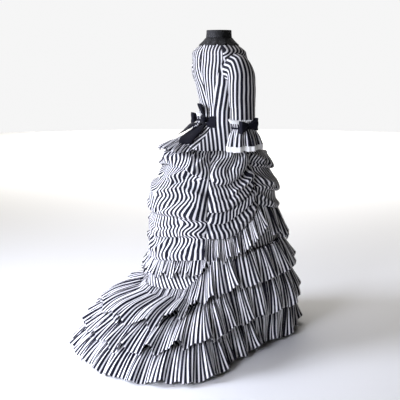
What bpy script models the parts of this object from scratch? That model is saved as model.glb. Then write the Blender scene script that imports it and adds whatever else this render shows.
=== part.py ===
"""A bustle dress of about 1880 in striped cotton, worn shape, with no wearer.

Metres, +Z up. The wearer faces -Y and has the right side at -X. Heights in the tables are above the
floor; the whole dress hangs under an empty, so that the world's origin is the middle of the waist.
Angles go round the body's axis in degrees: 0 is the front, +90 the wearer's right, 180 the back.
"""
import math

import bmesh
import bpy
import numpy as np

# Driving sizes
WAIST_HEIGHT = 1.04
CLOTH = 0.0025
SEAM_GAP = 0.0003
CLEARANCE = 0.0012
FINE_STEP = 0.005

# The train, below this height: how far it sweeps to the right, and its tuck on the left
TRAIN_TOP = 0.45
TRAIN_SWEEP = 0.040
TRAIN_TUCK = 0.12
TUCK_ANGLE = 226
TUCK_WIDTH = 34

# Columns of the two form tables, in degrees from the front
FORM_ANGLES = (0, 40, 80, 105, 120, 132, 150, 180)

# The underskirt over its hoop and bustle: height, then the distance from the axis at each angle
SKIRT_FORM = (
    (1.04, 0.096, 0.098, 0.096, 0.088, 0.077, 0.066, 0.053, 0.046),
    (1.00, 0.108, 0.112, 0.118, 0.112, 0.102, 0.092, 0.080, 0.074),
    (0.96, 0.133, 0.137, 0.145, 0.144, 0.138, 0.136, 0.146, 0.154),
    (0.92, 0.165, 0.168, 0.169, 0.170, 0.168, 0.166, 0.180, 0.196),
    (0.88, 0.198, 0.198, 0.190, 0.188, 0.188, 0.190, 0.208, 0.230),
    (0.80, 0.242, 0.238, 0.224, 0.218, 0.222, 0.232, 0.250, 0.266),
    (0.70, 0.266, 0.262, 0.250, 0.242, 0.250, 0.266, 0.282, 0.296),
    (0.60, 0.284, 0.280, 0.268, 0.262, 0.272, 0.286, 0.298, 0.310),
    (0.50, 0.298, 0.294, 0.284, 0.280, 0.292, 0.300, 0.306, 0.322),
    (0.42, 0.315, 0.308, 0.292, 0.292, 0.308, 0.318, 0.322, 0.340),
    (0.34, 0.335, 0.322, 0.298, 0.302, 0.332, 0.346, 0.343, 0.366),
    (0.30, 0.345, 0.328, 0.298, 0.308, 0.346, 0.364, 0.352, 0.384),
    (0.25, 0.356, 0.335, 0.298, 0.314, 0.360, 0.396, 0.374, 0.420),
    (0.20, 0.366, 0.340, 0.294, 0.320, 0.380, 0.475, 0.505, 0.545),
    (0.15, 0.373, 0.338, 0.286, 0.323, 0.388, 0.528, 0.568, 0.602),
    (0.07, 0.382, 0.324, 0.264, 0.325, 0.392, 0.590, 0.648, 0.678),
    (0.00, 0.388, 0.310, 0.250, 0.325, 0.395, 0.632, 0.702, 0.728),
)

# The bodice over the wearer's upper body, down to the edge of its basque
TORSO_FORM = (
    (1.430, 0.062, 0.062, 0.064, 0.064, 0.062, 0.061, 0.060, 0.060),
    (1.405, 0.076, 0.081, 0.100, 0.100, 0.092, 0.085, 0.078, 0.073),
    (1.360, 0.102, 0.120, 0.163, 0.163, 0.146, 0.128, 0.108, 0.094),
    (1.300, 0.142, 0.150, 0.158, 0.152, 0.139, 0.127, 0.112, 0.100),
    (1.250, 0.158, 0.160, 0.150, 0.144, 0.133, 0.122, 0.106, 0.092),
    (1.200, 0.150, 0.153, 0.142, 0.136, 0.122, 0.109, 0.092, 0.078),
    (1.140, 0.126, 0.132, 0.126, 0.120, 0.106, 0.094, 0.078, 0.064),
    (1.090, 0.112, 0.117, 0.111, 0.103, 0.091, 0.079, 0.065, 0.053),
    (1.050, 0.110, 0.114, 0.110, 0.102, 0.090, 0.079, 0.066, 0.057),
    (1.000, 0.130, 0.135, 0.140, 0.135, 0.127, 0.121, 0.122, 0.128),
    (0.960, 0.166, 0.169, 0.170, 0.167, 0.165, 0.170, 0.198, 0.232),
    (0.920, 0.197, 0.199, 0.197, 0.194, 0.198, 0.218, 0.260, 0.300),
    (0.890, 0.204, 0.206, 0.204, 0.203, 0.208, 0.234, 0.282, 0.324),
)

# Level lines over the skirt, as heights at FORM_ANGLES
LEVELS = {
    "flounce_2_top": (0.490, 0.490, 0.475, 0.465, 0.455, 0.390, 0.302, 0.290),
    "flounce_2_hem": (0.345, 0.345, 0.325, 0.310, 0.300, 0.240, 0.172, 0.158),
    "flounce_3_top": (0.360, 0.358, 0.345, 0.330, 0.320, 0.270, 0.208, 0.196),
    "flounce_3_hem": (0.185, 0.182, 0.165, 0.155, 0.150, 0.118, 0.083, 0.074),
    "flounce_4_top": (0.205, 0.200, 0.188, 0.178, 0.172, 0.146, 0.114, 0.106),
}

# Level lines of the overskirt: (angle, height) pairs from the front to the back of each panel
WAIST_LINE = 1.030
FRONT_LINES = (
    ((0, 0.962), (40, 0.952), (78, 0.934)),
    ((0, 0.913), (78, 0.916)),
    ((0, 0.808), (30, 0.813), (60, 0.832), (78, 0.843)),
    ((0, 0.703), (30, 0.708), (60, 0.734), (78, 0.755)),
    ((0, 0.612), (40, 0.628), (78, 0.672)),
)
SIDE_LINES = (
    ((79, 0.934), (131, 0.930)),
    ((79, 0.875), (90, 0.830), (100, 0.797), (110, 0.777), (118, 0.770), (131, 0.786)),
    ((79, 0.775), (90, 0.727), (100, 0.695), (110, 0.668), (118, 0.655), (131, 0.650)),
    ((79, 0.715), (90, 0.680), (100, 0.650), (110, 0.622), (118, 0.606), (131, 0.602)),
    ((79, 0.655), (90, 0.602), (100, 0.560), (110, 0.536), (118, 0.530), (131, 0.532)),
)
BACK_LINES = (
    ((132, 0.930), (150, 0.935), (180, 0.957)),
    ((132, 0.788), (146, 0.812), (162, 0.838), (180, 0.850)),
    ((132, 0.606), (146, 0.620), (160, 0.628), (180, 0.622)),
    ((132, 0.545), (148, 0.548), (160, 0.536), (180, 0.518)),
    ((132, 0.438), (150, 0.426), (180, 0.406)),
)
# How far each swag stands out between two level lines, top to bottom
FRONT_SWAGS = (0.0, 0.016, 0.020, 0.018, 0.007)
SIDE_SWAGS = (0.0, 0.018, 0.020, 0.014, 0.012)
BACK_SWAGS = (0.0, 0.016, 0.026, 0.014, 0.010)
FRONT_FRILL_HEM = ((0, 0.455), (30, 0.468), (62, 0.522), (78, 0.556))
SIDE_FRILL_HEM = ((79, 0.545), (90, 0.495), (104, 0.454), (112, 0.436), (121, 0.430), (131, 0.430))
BACK_FRILL_HEM = ((132, 0.374), (142, 0.364), (156, 0.352), (180, 0.336))

# Seams of the bodice, as (height, angle) pairs
SIDE_SEAM = ((0.89, 78), (1.04, 80), (1.22, 84), (1.27, 90), (1.325, 107), (1.345, 114), (1.43, 118))
BACK_SEAM = ((0.89, 149), (1.04, 143), (1.09, 141), (1.20, 131), (1.28, 121), (1.325, 114.4),
             (1.345, 114), (1.43, 118))
BASQUE_EDGE = ((0, 0.950), (40, 0.943), (80, 0.924), (132, 0.922), (148, 0.930), (165, 0.956), (180, 0.965))
SIDE_PANEL_TOP = 1.338
NECK_HEIGHT = 1.4295

# Armhole and sleeve
ARMHOLE_CENTRE_Y = 0.004
ARMHOLE_CENTRE_HEIGHT = 1.290
ARMHOLE_HALF_DEPTH = 0.050
ARMHOLE_HALF_HEIGHT = 0.064


def smooth_through(knots, values, where, flat_ends=False):
    """Read a smooth curve through the knots, which never overshoots them, at where."""
    knots = np.asarray(knots, float)
    values = np.asarray(values, float)
    where = np.clip(np.asarray(where, float), knots[0], knots[-1])
    steps = np.diff(knots)
    slopes = np.diff(values) / steps
    tangents = np.zeros(len(knots))
    product = slopes[:-1] * slopes[1:]
    both = slopes[:-1] + slopes[1:]
    both[both == 0] = 1.0
    tangents[1:-1] = np.where(product > 0, 2.0 * product / both, 0.0)
    if not flat_ends:
        tangents[0], tangents[-1] = slopes[0], slopes[-1]
    left = np.clip(np.searchsorted(knots, where, side="right") - 1, 0, len(steps) - 1)
    step = steps[left]
    t = (where - knots[left]) / step
    start = (1 + 2 * t) * (1 - t) ** 2 * values[left] + t * (1 - t) ** 2 * step * tangents[left]
    end = t * t * (3 - 2 * t) * values[left + 1] - t * t * (1 - t) * step * tangents[left + 1]
    return start + end


class Form:
    """A hollow body given by its distance from the axis, a row for each height."""

    def __init__(self, rows):
        rows = sorted(rows)
        row_heights = [row[0] for row in rows]
        self.heights = np.arange(row_heights[0], row_heights[-1] + FINE_STEP, FINE_STEP)
        self.angles = np.arange(0, 181)
        by_row = [smooth_through(FORM_ANGLES, row[1:], self.angles, flat_ends=True) for row in rows]
        columns = np.array(by_row).T
        self.grid = np.array([smooth_through(row_heights, column, self.heights) for column in columns])

    def radius(self, angle, height):
        """Distance from the axis at angles in degrees and heights above the floor."""
        turn = np.abs((np.asarray(angle, float) + 180) % 360 - 180)
        column = np.clip(turn, 0, 179.999)
        row = np.clip((np.asarray(height, float) - self.heights[0]) / FINE_STEP, 0, len(self.heights) - 1.001)
        i, j = column.astype(int), row.astype(int)
        a, b = column - i, row - j
        upper = self.grid[i, j] * (1 - b) + self.grid[i, j + 1] * b
        lower = self.grid[i + 1, j] * (1 - b) + self.grid[i + 1, j + 1] * b
        return upper * (1 - a) + lower * a

    def surface(self, angle, height):
        """Points of the form; the train sweeps to the wearer's right and tucks in on the left."""
        angle, height = np.broadcast_arrays(np.asarray(angle, float), np.asarray(height, float))
        turn = np.radians(angle)
        lowness = np.clip((TRAIN_TOP - height) / TRAIN_TOP, 0, 1)
        tuck = np.exp(-((angle % 360 - TUCK_ANGLE) / TUCK_WIDTH) ** 2) * np.minimum(1, 2 * lowness)
        radius = self.radius(angle, height) * (1 - TRAIN_TUCK * tuck)
        backness = (1 - np.cos(turn)) / 2
        x = -radius * np.sin(turn) - TRAIN_SWEEP * lowness * backness
        y = -radius * np.cos(turn)
        return np.stack([x, y, height], axis=-1)

    def normal(self, angle, height):
        """Unit normals pointing out of the form."""
        angle, height = np.broadcast_arrays(np.asarray(angle, float), np.asarray(height, float))
        across = self.surface(angle + 0.5, height) - self.surface(angle - 0.5, height)
        up = self.surface(angle, height + 0.004) - self.surface(angle, height - 0.004)
        normal = np.cross(up, across)
        return normal / np.linalg.norm(normal, axis=-1, keepdims=True)


SKIRT = Form(SKIRT_FORM)
TORSO = Form(TORSO_FORM)


def level(name_or_pairs, angle):
    """Height of a level line at signed angles."""
    turn = np.abs((np.asarray(angle, float) + 180) % 360 - 180)
    if isinstance(name_or_pairs, str):
        return smooth_through(FORM_ANGLES, LEVELS[name_or_pairs], turn, flat_ends=True)
    knots, heights = zip(*name_or_pairs)
    return smooth_through(knots, heights, turn)


def make_material(name, colour, roughness):
    material = bpy.data.materials.new(name)
    material.use_nodes = True
    shader = material.node_tree.nodes["Principled BSDF"]
    shader.inputs["Base Color"].default_value = (*colour, 1.0)
    shader.inputs["Roughness"].default_value = roughness
    shader.inputs["Metallic"].default_value = 0.0
    return material


def make_object(name, points, faces, material, parent):
    """Make one closed, smooth-shaded mesh object with its faces pointing out."""
    mesh = bpy.data.meshes.new(name)
    mesh.from_pydata([tuple(point) for point in points], [], faces)
    bm = bmesh.new()
    bm.from_mesh(mesh)
    if bm.calc_volume(signed=True) < 0:
        bmesh.ops.reverse_faces(bm, faces=bm.faces[:])
    bm.to_mesh(mesh)
    bm.free()
    mesh.shade_smooth()
    mesh.set_sharp_from_angle(angle=math.radians(50))
    mesh.materials.append(material)
    thing = bpy.data.objects.new(name, mesh)
    thing.parent = parent
    bpy.context.collection.objects.link(thing)
    return thing


def wall(name, outer, inner, material, parent, closed):
    """Cloth between two grids of points: rows run down, columns run round or across."""
    rows, columns = outer.shape[:2]
    points = np.concatenate([outer.reshape(-1, 3), inner.reshape(-1, 3)])
    inside = rows * columns
    faces = []
    spans = columns if closed else columns - 1
    for row in range(rows - 1):
        for column in range(spans):
            beside = (column + 1) % columns
            a, b = row * columns + column, row * columns + beside
            c, d = a + columns, b + columns
            faces.extend([(a, c, d), (a, d, b)])
            faces.extend([(inside + a, inside + d, inside + c), (inside + a, inside + b, inside + d)])
    last = (rows - 1) * columns
    for column in range(spans):
        beside = (column + 1) % columns
        faces.append((column, beside, inside + beside, inside + column))
        faces.append((last + beside, last + column, inside + last + column, inside + last + beside))
    if not closed:
        for row in range(rows - 1):
            a, c = row * columns, (row + 1) * columns
            b, d = a + columns - 1, c + columns - 1
            faces.append((a, inside + a, inside + c, c))
            faces.append((b, d, inside + d, inside + b))
    return make_object(name, points, faces, material, parent)


def follow(edge, edge_angles, angle):
    """Points along a straight-sided edge, so that a piece sewn to it keeps an even gap."""
    return np.stack([np.interp(angle, edge_angles, edge[:, axis]) for axis in range(3)], axis=-1)


def unevenness(share):
    """A slow change of size along a gathered edge, from about 0.6 to 1.4."""
    turn = 2 * math.pi * share
    return 1 + 0.22 * np.sin(5 * turn + 1.3) + 0.16 * np.sin(11 * turn + 0.5)


def wave(share, waves):
    """Gathers along an edge: share runs from 0 to 1, and some waves are deeper than others."""
    return np.cos(2 * math.pi * waves * share) * unevenness(share)


def gathered_angles(underskirt, line, waves):
    """Angles of a flounce's columns: near equal lengths along its hem, some on the skirt's corners."""
    fine = np.linspace(0, 360, 721)
    path = SKIRT.surface(fine, level(line, fine) if line else np.zeros_like(fine))
    lengths = np.concatenate([[0], np.cumsum(np.linalg.norm(np.diff(path, axis=0), axis=1))])
    share = np.linspace(0, 1, waves * SAMPLES_PER_WAVE, endpoint=False)
    turn = 2 * math.pi * share
    shift = (0.55 * np.sin(3 * turn) + 0.35 * (np.sin(7 * turn + 2) - math.sin(2))) / (2 * math.pi * waves)
    angles = np.interp((share + shift) * lengths[-1], lengths, fine)
    for corner in underskirt.angles:
        angles[np.argmin(np.abs(angles - corner))] = corner
    return share, angles


class Underskirt:
    """The skirt that carries the flounces; its rings lie on the lines where they are sewn."""

    columns = 36
    waist_rows = (WAIST_LINE, 0.99, 0.96, 0.92, 0.82, 0.68, 0.55)
    hem_height = 0.012

    def __init__(self):
        self.angles = np.linspace(0, 360, self.columns, endpoint=False)
        lines = [np.full(self.columns, height) for height in self.waist_rows]
        tops = [level("flounce_%d_top" % number, self.angles) for number in (2, 3, 4)]
        self.sewing_rows = {}
        for number, top in zip((2, 3, 4), tops):
            above = lines[-1]
            lines.extend(above * (1 - down) + top * down for down in (1 / 3, 2 / 3))
            self.sewing_rows[number] = len(lines)
            lines.append(top)
        lines.append(np.full(self.columns, self.hem_height))
        heights = np.array(lines)
        self.normals = SKIRT.normal(self.angles, heights)
        self.outer = SKIRT.surface(self.angles, heights)

    def build(self, material, parent):
        inner = self.outer - self.normals * CLOTH
        wall("underskirt", self.outer, inner, material, parent, closed=True)

    def sewing_line(self, number, angle):
        """Where flounce number is sewn on, and the way out of the cloth there."""
        row = self.sewing_rows[number]
        wrapped = np.append(self.angles, 360)
        edge = np.vstack([self.outer[row], self.outer[row][:1]])
        normals = np.vstack([self.normals[row], self.normals[row][:1]])
        return follow(edge, wrapped, angle % 360), follow(normals, wrapped, angle % 360)


# Flounces of the underskirt: number, name, waves, how far the hem stands out, depth of its waves
FLOUNCES = (
    (2, "flounce_upper", 24, 0.050, 0.0150),
    (3, "flounce_middle", 28, 0.050, 0.0145),
    (4, "flounce_hem", 32, 0.050, 0.0160),
)
SAMPLES_PER_WAVE = 4
FLOUNCE_CLEAR = 0.004
MIDDLE_ROW = 0.45
FLOUNCE_SWELL = 0.75
FRILL_SWELL = 0.85


def build_flounce(underskirt, number, name, waves, stand_out, depth, material, parent):
    """A gathered flounce, sewn along its top and flaring to its hem."""
    hem_line = "flounce_%d_hem" % number if number < 4 else None
    share, angles = gathered_angles(underskirt, hem_line, waves)
    top, top_normal = underskirt.sewing_line(number, angles)
    top = top + top_normal * (2 * SEAM_GAP + CLOTH)
    hem_height = level(hem_line, angles) if hem_line else np.zeros_like(angles)
    waves_out = wave(share, waves) * depth
    outer, normals = [top], [top_normal]
    for down in ((MIDDLE_ROW, 1.0) if hem_line else (1.0,)):
        height = top[:, 2] * (1 - down) + hem_height * down
        normal = SKIRT.normal(angles, height)
        stand = CLOTH + FLOUNCE_CLEAR + stand_out * down ** FLOUNCE_SWELL + waves_out * down
        point = SKIRT.surface(angles, height) + normal * stand[:, None]
        if down == 1.0 and hem_line is None:
            normal[:, 2] = 0
            normal /= np.linalg.norm(normal, axis=1, keepdims=True)
            point = SKIRT.surface(angles, height) + normal * stand[:, None]
        outer.append(point)
        normals.append(normal)
    outer, normals = np.array(outer), np.array(normals)
    wall(name, outer, outer - normals * CLOTH, material, parent, closed=True)


SWAG_ROWS = (0.0, 0.45, 0.82)
YOKE_ROWS = (0.0, 0.5)
SWAG_CREST = 0.82


def swag_profile(down):
    """How a swag swells on its way down and tucks in under its lip: 0 to 1 and back."""
    down = np.asarray(down, float)
    swelling = (1 - np.cos(math.pi * np.minimum(down / SWAG_CREST, 1))) / 2
    tucking = (1 + np.cos(math.pi * np.clip((down - SWAG_CREST) / (1 - SWAG_CREST), 0, 1))) / 2
    return np.where(down < SWAG_CREST, swelling, tucking)


OVERSKIRT_AT_WAIST = 0.0020
OVERSKIRT_STAND_OUT = 0.0075


def swagged_panel(name, first, last, columns, lines, swags, material, parent):
    """One panel of the overskirt, draped in swags between its level lines."""
    angles = np.linspace(first, last, columns + 1)
    across = np.linspace(-1, 1, columns + 1)
    fade = 1 - across ** 4
    heights = [np.full(columns + 1, WAIST_LINE)] + [level(line, angles) for line in lines]
    rows, stands = [], []
    for number, swag in enumerate(swags):
        for down in (SWAG_ROWS if swag else YOKE_ROWS):
            rows.append(heights[number] * (1 - down) + heights[number + 1] * down)
            near_waist = OVERSKIRT_AT_WAIST if number == 0 and down == 0 else OVERSKIRT_STAND_OUT
            stands.append(near_waist + CLOTH + swag * swag_profile(down) * fade)
    rows.append(heights[-1])
    stands.append(np.full(columns + 1, OVERSKIRT_STAND_OUT + CLOTH))
    rows, stands = np.array(rows), np.array(stands)
    normals = SKIRT.normal(angles, rows)
    outer = SKIRT.surface(angles, rows) + normals * stands[..., None]
    wall(name, outer, outer - normals * CLOTH, material, parent, closed=False)
    return angles, outer[-1], normals[-1]


def panel_frill(name, edge, hem_line, waves, stand_out, depth, material, parent):
    """The gathered frill sewn under the lower edge of an overskirt panel."""
    edge_angles, edge_points, edge_normals = edge
    order = np.argsort(edge_angles)
    edge_angles, edge_points, edge_normals = edge_angles[order], edge_points[order], edge_normals[order]
    count = waves * SAMPLES_PER_WAVE
    angles = np.linspace(edge_angles[0], edge_angles[-1], count + 1)
    share = np.linspace(0, 1, count + 1)
    top = follow(edge_points, edge_angles, angles) - np.array([0, 0, SEAM_GAP * 1.5])
    top_normal = follow(edge_normals, edge_angles, angles)
    hem_height = level(hem_line, angles)
    waves_out = wave(share, waves) * depth
    outer, normals = [top], [top_normal]
    for down in (MIDDLE_ROW, 1.0):
        height = top[:, 2] * (1 - down) + hem_height * down
        normal = SKIRT.normal(angles, height)
        stand = OVERSKIRT_STAND_OUT + CLOTH + stand_out * down ** FRILL_SWELL + waves_out * down
        outer.append(SKIRT.surface(angles, height) + normal * stand[:, None])
        normals.append(normal)
    outer, normals = np.array(outer), np.array(normals)
    wall(name, outer, outer - normals * CLOTH, material, parent, closed=False)


# Overskirt seams, as angles from the front, and half the gap between two panels in degrees
FRONT_SEAM = 78.5
POUF_SEAM = 131.5
HALF_SEAM = 0.045
# Overskirt frills: waves, how far the hem stands out, depth of the waves
FRONT_FRILL = (9, 0.032, 0.011)
SIDE_FRILL = (6, 0.036, 0.013)
BACK_FRILL = (9, 0.022, 0.009)


def build_overskirt(stripe, parent):
    """Front apron, two sides and the pouf at the back, each with its frill."""
    reach = FRONT_SEAM - HALF_SEAM
    front = swagged_panel("overskirt_front", -reach, reach, 12, FRONT_LINES, FRONT_SWAGS, stripe, parent)
    panel_frill("overskirt_front_frill", front, FRONT_FRILL_HEM, *FRONT_FRILL, stripe, parent)
    for side, sign in (("right", 1), ("left", -1)):
        first, last = sign * (FRONT_SEAM + HALF_SEAM), sign * (POUF_SEAM - HALF_SEAM)
        panel = swagged_panel("overskirt_side_" + side, first, last, 8, SIDE_LINES, SIDE_SWAGS,
                              stripe, parent)
        panel_frill("overskirt_side_frill_" + side, panel, SIDE_FRILL_HEM, *SIDE_FRILL, stripe, parent)
    first = POUF_SEAM + HALF_SEAM
    back = swagged_panel("overskirt_back", first, 360 - first, 12, BACK_LINES, BACK_SWAGS, stripe, parent)
    panel_frill("overskirt_back_frill", back, BACK_FRILL_HEM, *BACK_FRILL, stripe, parent)


BODICE_HEIGHTS = (1.405, 1.38, 1.355, 1.32, 1.28, 1.236, 1.18, 1.13, 1.09, 1.06, 1.035, 1.01, 0.98, 0.95)


def seam_angle(seam, height):
    heights, angles = zip(*seam)
    return np.interp(height, heights, angles)


def bodice_panel(name, start_seam, end_seam, top, columns, sign, material, parent):
    """A bodice panel between two seams, cut in one with its part of the basque."""
    share = np.linspace(0, 1, columns + 1)
    levels = [top] + [height for height in BODICE_HEIGHTS if height < top - 0.012]

    def angle_at(height):
        start = seam_angle(start_seam, height)
        end = seam_angle(end_seam, height)
        half_gap = np.degrees(SEAM_GAP * 0.7 / TORSO.radius(start, height))
        return (start + half_gap) * (1 - share) + (end - half_gap) * share

    rows = []
    edge = level(BASQUE_EDGE, angle_at(0.93))
    for height in levels:
        rows.append(np.maximum(np.full(columns + 1, height), edge + 0.012 * (len(levels) - len(rows))))
    rows.append(edge)
    heights = np.array(rows)
    angles = np.array([angle_at(row) if np.ptp(row) == 0 else np.array(
        [angle_at(value)[i] for i, value in enumerate(row)]) for row in heights])
    angles = angles * sign
    normals = TORSO.normal(angles, heights)
    outer = TORSO.surface(angles, heights)
    body = wall(name, outer, outer - normals * CLOTH, material, parent, closed=False)
    return body, angles[-1], outer[-1], normals[-1]


def make_armhole_cutter(side, sign, parent):
    """A guide that opens the armhole; it is not part of the dress."""
    bm = bmesh.new()
    bmesh.ops.create_cone(bm, cap_ends=True, segments=24, radius1=1.0, radius2=1.0, depth=0.2)
    for vertex in bm.verts:
        across, up, along = vertex.co.x, vertex.co.y, vertex.co.z
        vertex.co = (-sign * (0.17 + along),
                     ARMHOLE_CENTRE_Y + ARMHOLE_HALF_DEPTH * across,
                     ARMHOLE_CENTRE_HEIGHT + ARMHOLE_HALF_HEIGHT * up)
    bm.normal_update()
    if bm.calc_volume(signed=True) < 0:
        bmesh.ops.reverse_faces(bm, faces=bm.faces[:])
    mesh = bpy.data.meshes.new("armhole_guide_" + side)
    bm.to_mesh(mesh)
    bm.free()
    cutter = bpy.data.objects.new("armhole_guide_" + side, mesh)
    cutter.parent = parent
    cutter.hide_render = True
    cutter.display_type = "WIRE"
    bpy.context.collection.objects.link(cutter)
    return cutter


def cut_with(target, cutter):
    cut = target.modifiers.new("armhole", "BOOLEAN")
    cut.operation = "DIFFERENCE"
    cut.solver = "EXACT"
    cut.object = cutter


def build_bodice(stripe, parent):
    """Fronts, sides and backs, with open armholes; returns the lower edge of the back."""
    front_closing = ((0.89, 0), (1.43, 0))
    back_centre = ((0.89, 180), (1.43, 180))
    edges = []
    for side, sign in (("right", 1), ("left", -1)):
        cutter = make_armhole_cutter(side, sign, parent)
        front = bodice_panel("bodice_front_" + side, front_closing, SIDE_SEAM, NECK_HEIGHT, 7, sign,
                             stripe, parent)
        side_panel = bodice_panel("bodice_side_" + side, SIDE_SEAM, BACK_SEAM, SIDE_PANEL_TOP, 4, sign,
                                  stripe, parent)
        back = bodice_panel("bodice_back_" + side, BACK_SEAM, back_centre, NECK_HEIGHT, 5, sign,
                            stripe, parent)
        cut_with(front[0], cutter)
        cut_with(side_panel[0], cutter)
        edges.append(back)
    angles = np.concatenate([edges[0][1], (edges[1][1] % 360)[::-1]])
    points = np.concatenate([edges[0][2], edges[1][2][::-1]])
    normals = np.concatenate([edges[0][3], edges[1][3][::-1]])
    return angles, points, normals


# Frill at the back of the basque: its half width in degrees, waves, drop and depth of its waves
BASQUE_FRILL_REACH = 30
BASQUE_FRILL_WAVES = 8
BASQUE_FRILL_DROP = 0.040
BASQUE_FRILL_STAND = 0.006
BASQUE_FRILL_DEPTH = 0.007


def build_basque_frill(edge, stripe, parent):
    """The short gathered frill that ends the back of the basque and stands out over the bustle."""
    edge_angles, edge_points, edge_normals = edge
    inside = np.abs(edge_angles - 180) < BASQUE_FRILL_REACH
    columns = edge_angles[inside]
    steps = np.linspace(0, len(columns) - 1, 4 * (len(columns) - 1) + 1)
    angles = np.interp(steps, np.arange(len(columns)), columns)
    share = np.linspace(0, 1, len(angles))
    taper = np.minimum(1, 4 * np.minimum(share, 1 - share) + 0.25)
    top = follow(edge_points, edge_angles, angles) - np.array([0, 0, SEAM_GAP * 1.5])
    top_normal = follow(edge_normals, edge_angles, angles)
    height = top[:, 2] - BASQUE_FRILL_DROP * taper
    normal = TORSO.normal(angles, height)
    stand = BASQUE_FRILL_STAND + wave(share, BASQUE_FRILL_WAVES) * BASQUE_FRILL_DEPTH * taper
    hem = TORSO.surface(angles, height) + normal * stand[:, None]
    outer, normals = np.array([top, hem]), np.array([top_normal, normal])
    wall("basque_frill", outer, outer - normals * CLOTH, stripe, parent, closed=False)


# Sleeve: the armpit turns the rings from the upright armhole to the level arm.
# Each row: tilt in degrees, pivot drop, half size across the arm's thickness, half size front to back
SLEEVE_HEAD = (
    (90, 0.000, 0.0690, 0.0550),
    (62, 0.005, 0.0700, 0.0600),
    (34, 0.011, 0.0640, 0.0650),
    (10, 0.018, 0.0570, 0.0660),
)
ARMPIT_X = 0.1495
ARMPIT_HEIGHT = 1.221
# Lower sleeve: height, centre from the middle, centre forward, half thickness, half depth
SLEEVE_ARM = (
    (1.160, 0.2110, 0.004, 0.0520, 0.0640),
    (1.110, 0.2260, 0.010, 0.0495, 0.0600),
    (1.070, 0.2370, 0.014, 0.0470, 0.0560),
    (1.028, 0.2480, 0.018, 0.0440, 0.0520),
)
# Elbow frill: height, centre from the middle, centre back, half thickness, half depth, wave depth
ELBOW_FRILL = (
    (1.066, 0.2380, 0.014, 0.0560, 0.0650, 0.0035),
    (1.030, 0.2475, 0.018, 0.0467, 0.0548, 0.0000),
    (0.990, 0.2570, 0.021, 0.0570, 0.0690, 0.0060),
    (0.950, 0.2660, 0.023, 0.0640, 0.0800, 0.0085),
)
# The white band below the frill: its lower edge, in the same columns
ELBOW_BAND_HEM = (0.9255, 0.2690, 0.0235, 0.0635, 0.0800, 0.0075)
FINE_CLOTH = 0.0020
SLEEVE_SIDES = 14
ELBOW_WAVES = 7
# The left arm hangs further forward than the right: height, shift to the back
LEFT_ARM_SWING = ((1.09, -0.105), (1.16, -0.090), (1.21, -0.070), (1.25, -0.042), (1.29, -0.015))


def arm_shift(sign, height):
    """How far back of its place an arm hangs at a height."""
    heights, shifts = zip(*LEFT_ARM_SWING)
    return 0.0 if sign > 0 else float(np.interp(height, heights, shifts))


def torso_side(y, height, sign):
    """How far out the bodice's surface lies at a place on its side."""
    x = 0.15
    for _ in range(12):
        angle = math.degrees(math.atan2(x, -y))
        x = math.sqrt(max(float(TORSO.radius(angle, height)) ** 2 - y * y, 1e-6))
    return -sign * x


def sleeve_rings(sign, thinner):
    """Rings of the sleeve, each thinner than the outer cloth by the given amount."""
    turns = np.linspace(0, 2 * math.pi, SLEEVE_SIDES, endpoint=False)
    rings = []
    for number, (tilt, drop, half_thick, half_deep) in enumerate(SLEEVE_HEAD):
        lean = math.radians(tilt)
        thick, deep = half_thick - thinner, half_deep - thinner
        centre = np.array([-sign * (ARMPIT_X + half_thick * math.cos(lean)), ARMHOLE_CENTRE_Y,
                           ARMPIT_HEIGHT - drop + half_thick * math.sin(lean)])
        up = np.array([-sign * math.cos(lean), 0, math.sin(lean)])
        ring = [centre + up * thick * math.cos(turn) + np.array([0, 1, 0]) * deep * math.sin(turn)
                for turn in turns]
        for point in ring:
            if number == 0:
                point[0] = torso_side(point[1], point[2], sign) - sign * CLEARANCE
            else:
                point[1] += arm_shift(sign, centre[2])
        rings.append(ring)
    for height, middle, back, half_thick, half_deep in SLEEVE_ARM:
        thick, deep = half_thick - thinner, half_deep - thinner
        back += arm_shift(sign, height)
        ring = [np.array([-sign * (middle + thick * math.cos(turn)), back + deep * math.sin(turn), height])
                for turn in turns]
        rings.append(ring)
    return np.array(rings)


def elbow_ring(row, sign, turns, waves_out, outward):
    height, middle, back, half_thick, half_deep, depth = row
    thick = half_thick + waves_out * depth + outward
    deep = half_deep + waves_out * depth + outward
    back += arm_shift(sign, height)
    return np.stack([-sign * (middle + thick * np.cos(turns)), back + deep * np.sin(turns),
                     np.full(len(turns), height)], axis=-1)


def build_sleeve(side, sign, stripe, white, black, parent):
    """Elbow-length sleeve, its gathered frill, the white band on it and the ribbon with its bow."""
    outer, inner = sleeve_rings(sign, 0), sleeve_rings(sign, CLOTH)
    wall("sleeve_" + side, outer, inner, stripe, parent, closed=True)
    count = ELBOW_WAVES * SAMPLES_PER_WAVE
    turns = np.linspace(0, 2 * math.pi, count, endpoint=False)
    waves_out = np.cos(ELBOW_WAVES * turns) * (1 + 0.25 * np.sin(3 * turns + 0.7))
    outer = np.array([elbow_ring(row, sign, turns, waves_out, 0) for row in ELBOW_FRILL])
    inner = np.array([elbow_ring(row, sign, turns, waves_out, -FINE_CLOTH) for row in ELBOW_FRILL])
    wall("elbow_frill_" + side, outer, inner, stripe, parent, closed=True)
    band_rows = ((ELBOW_FRILL[-1][0] - SEAM_GAP * 1.5,) + ELBOW_FRILL[-1][1:], ELBOW_BAND_HEM)
    outer = np.array([elbow_ring(row, sign, turns, waves_out, 0) for row in band_rows])
    inner = np.array([elbow_ring(row, sign, turns, waves_out, -FINE_CLOTH) for row in band_rows])
    wall("elbow_band_" + side, outer, inner, white, parent, closed=True)
    build_elbow_ribbon(side, sign, black, parent)


RIBBON_HEIGHT = 1.030
RIBBON_CENTRE = (0.2475, 0.018)
RIBBON_HALF = (0.0467, 0.0548)
RIBBON_THICK = 0.0015
RIBBON_HALF_WIDTH = 0.004
RIBBON_CLEAR = 0.0032
RIBBON_SIDES = 20
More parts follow.
